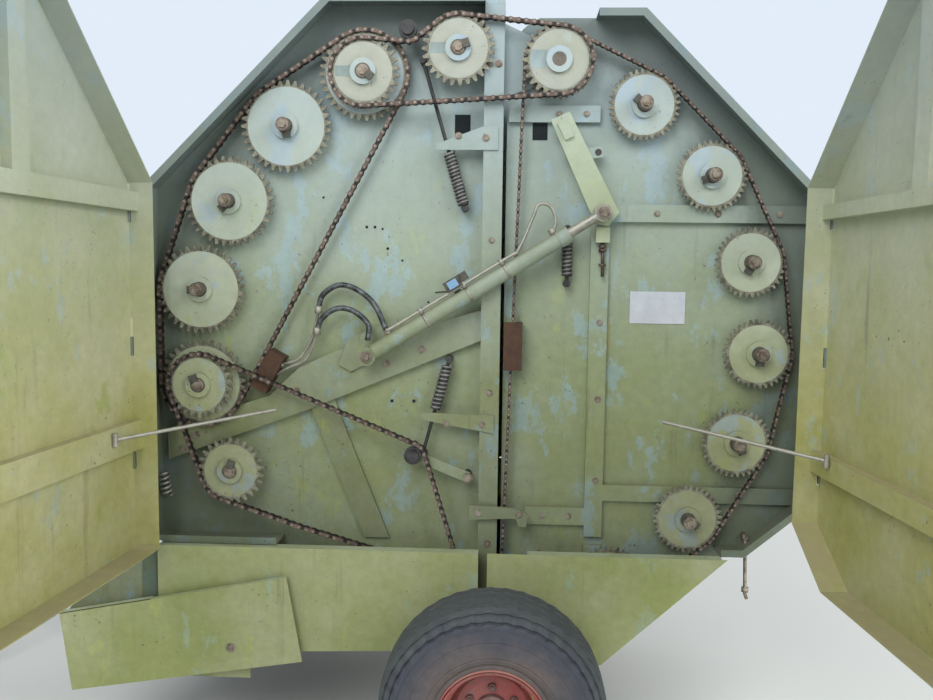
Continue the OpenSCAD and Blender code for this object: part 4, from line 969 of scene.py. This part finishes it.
# Twine box. Its lid turns on two pin hinges, with a bent handle and two over-centre latches of
# zinc-plated steel.
parts = []
for y in (-390, 390):
    hook = [at(-1448, y, 330), at(-1456, y, 362), at(-1454, y, 398), at(-1449, y, 418)]
    parts.append(tube_mesh([at(-1112, y - 55, 436), at(-1112, y + 55, 436)], 0.009, 12))
    parts.append(box_mesh(at(-1140, y, 433.5), (0.05, 0.08, 0.003)))
    parts.append(box_mesh(at(-1442, y, 352), (0.004, 0.034, 0.09)))
    parts.append(tube_mesh(smooth_line(hook, 4), 0.004, 8))
handle = [at(-1380, -70, 432), at(-1384, -66, 458), at(-1384, 66, 458), at(-1380, 70, 432)]
parts.append(tube_mesh(smooth_line(handle, 5), 0.006, 8))
joined("lid_fittings", parts, brown_zinc, "root")

# Camera where the photograph was taken: it looks along +Y at the open drive side, a little to the
# left and down, leaning a little. Its lens follows from the picture's width of 933 pixels.
picture_wide, focal_pixels, sensor = 933, 853, 36.0
eye = Vector((2.663, -3.509, 1.141))
turn, down, lean = 0.045, 0.090, 0.013
ahead = Vector((-math.sin(turn) * math.cos(down), math.cos(turn) * math.cos(down), -math.sin(down)))
right = Vector((math.cos(turn), math.sin(turn), 0))
up = right.cross(ahead)
leaned = right * math.cos(lean) + up * math.sin(lean)
stood = up * math.cos(lean) - right * math.sin(lean)
lens = bpy.data.cameras.new("camera")
lens.sensor_fit = "HORIZONTAL"
lens.sensor_width = sensor
lens.lens = sensor * focal_pixels / picture_wide
lens.clip_start = 0.05
lens.clip_end = 200
camera = bpy.data.objects.new("camera", lens)
bpy.context.scene.collection.objects.link(camera)
axes = Matrix((leaned, stood, -ahead)).transposed().to_4x4()
camera.matrix_world = Matrix.Translation(eye) @ axes
bpy.context.scene.camera = camera

# Studio: a pale floor and backdrop, a broad soft key from the photographer's side, a soft fill from
# the tailgate's end and a weaker lamp from behind.
half_floor = 60
ground = cad_box[0][2] - 0.002
corners = [(x, y, ground) for x, y in ((-1, -1), (1, -1), (1, 1), (-1, 1))]
floor_mesh = bpy.data.meshes.new("floor")
floor_mesh.from_pydata([(x * half_floor, y * half_floor, z) for x, y, z in corners], [], [(0, 1, 2, 3)])
floor = bpy.data.objects.new("floor", floor_mesh)
bpy.context.scene.collection.objects.link(floor)
material, tree, shader = blank("pale_floor")
shader.inputs["Base Color"].default_value = linear("#cfd0cc")
shader.inputs["Roughness"].default_value = 0.9
floor_mesh.materials.append(material)

world = bpy.data.worlds.new("studio")
bpy.context.scene.world = world
world.use_nodes = True
tree = world.node_tree
tree.nodes.clear()
soft = add(tree, "ShaderNodeBackground", {"Color": linear("#dfe6ee"), "Strength": 0.72})
seen = add(tree, "ShaderNodeBackground", {"Color": linear("#e2edf9"), "Strength": 1.0})
path = add(tree, "ShaderNodeLightPath").outputs
shown = path["Is Camera Ray"]
for ray in ("Is Glossy Ray", "Is Transmission Ray"):
    shown = add(tree, "ShaderNodeMath", {0: shown, 1: path[ray]}, operation="MAXIMUM").outputs[0]
both = add(tree, "ShaderNodeMixShader", {0: shown, 1: soft.outputs[0], 2: seen.outputs[0]})
add(tree, "ShaderNodeOutputWorld", {"Surface": both.outputs[0]})

lamp_size = 5.0
aim = Vector((2.4, 0, 0.7))
for name, place, power in (("key", (0.2, -7.5, 6.0), 500), ("fill", (8.5, -4.6, 3.5), 460),
                           ("back", (3.0, 7.0, 6.0), 260)):
    light = bpy.data.lights.new(name, "AREA")
    light.size = lamp_size
    light.energy = power
    lamp = bpy.data.objects.new(name, light)
    bpy.context.scene.collection.objects.link(lamp)
    lamp.location = place
    lamp.rotation_euler = (aim - Vector(place)).to_track_quat("-Z", "Y").to_euler()

scene = bpy.context.scene
scene.view_settings.view_transform = "Standard"
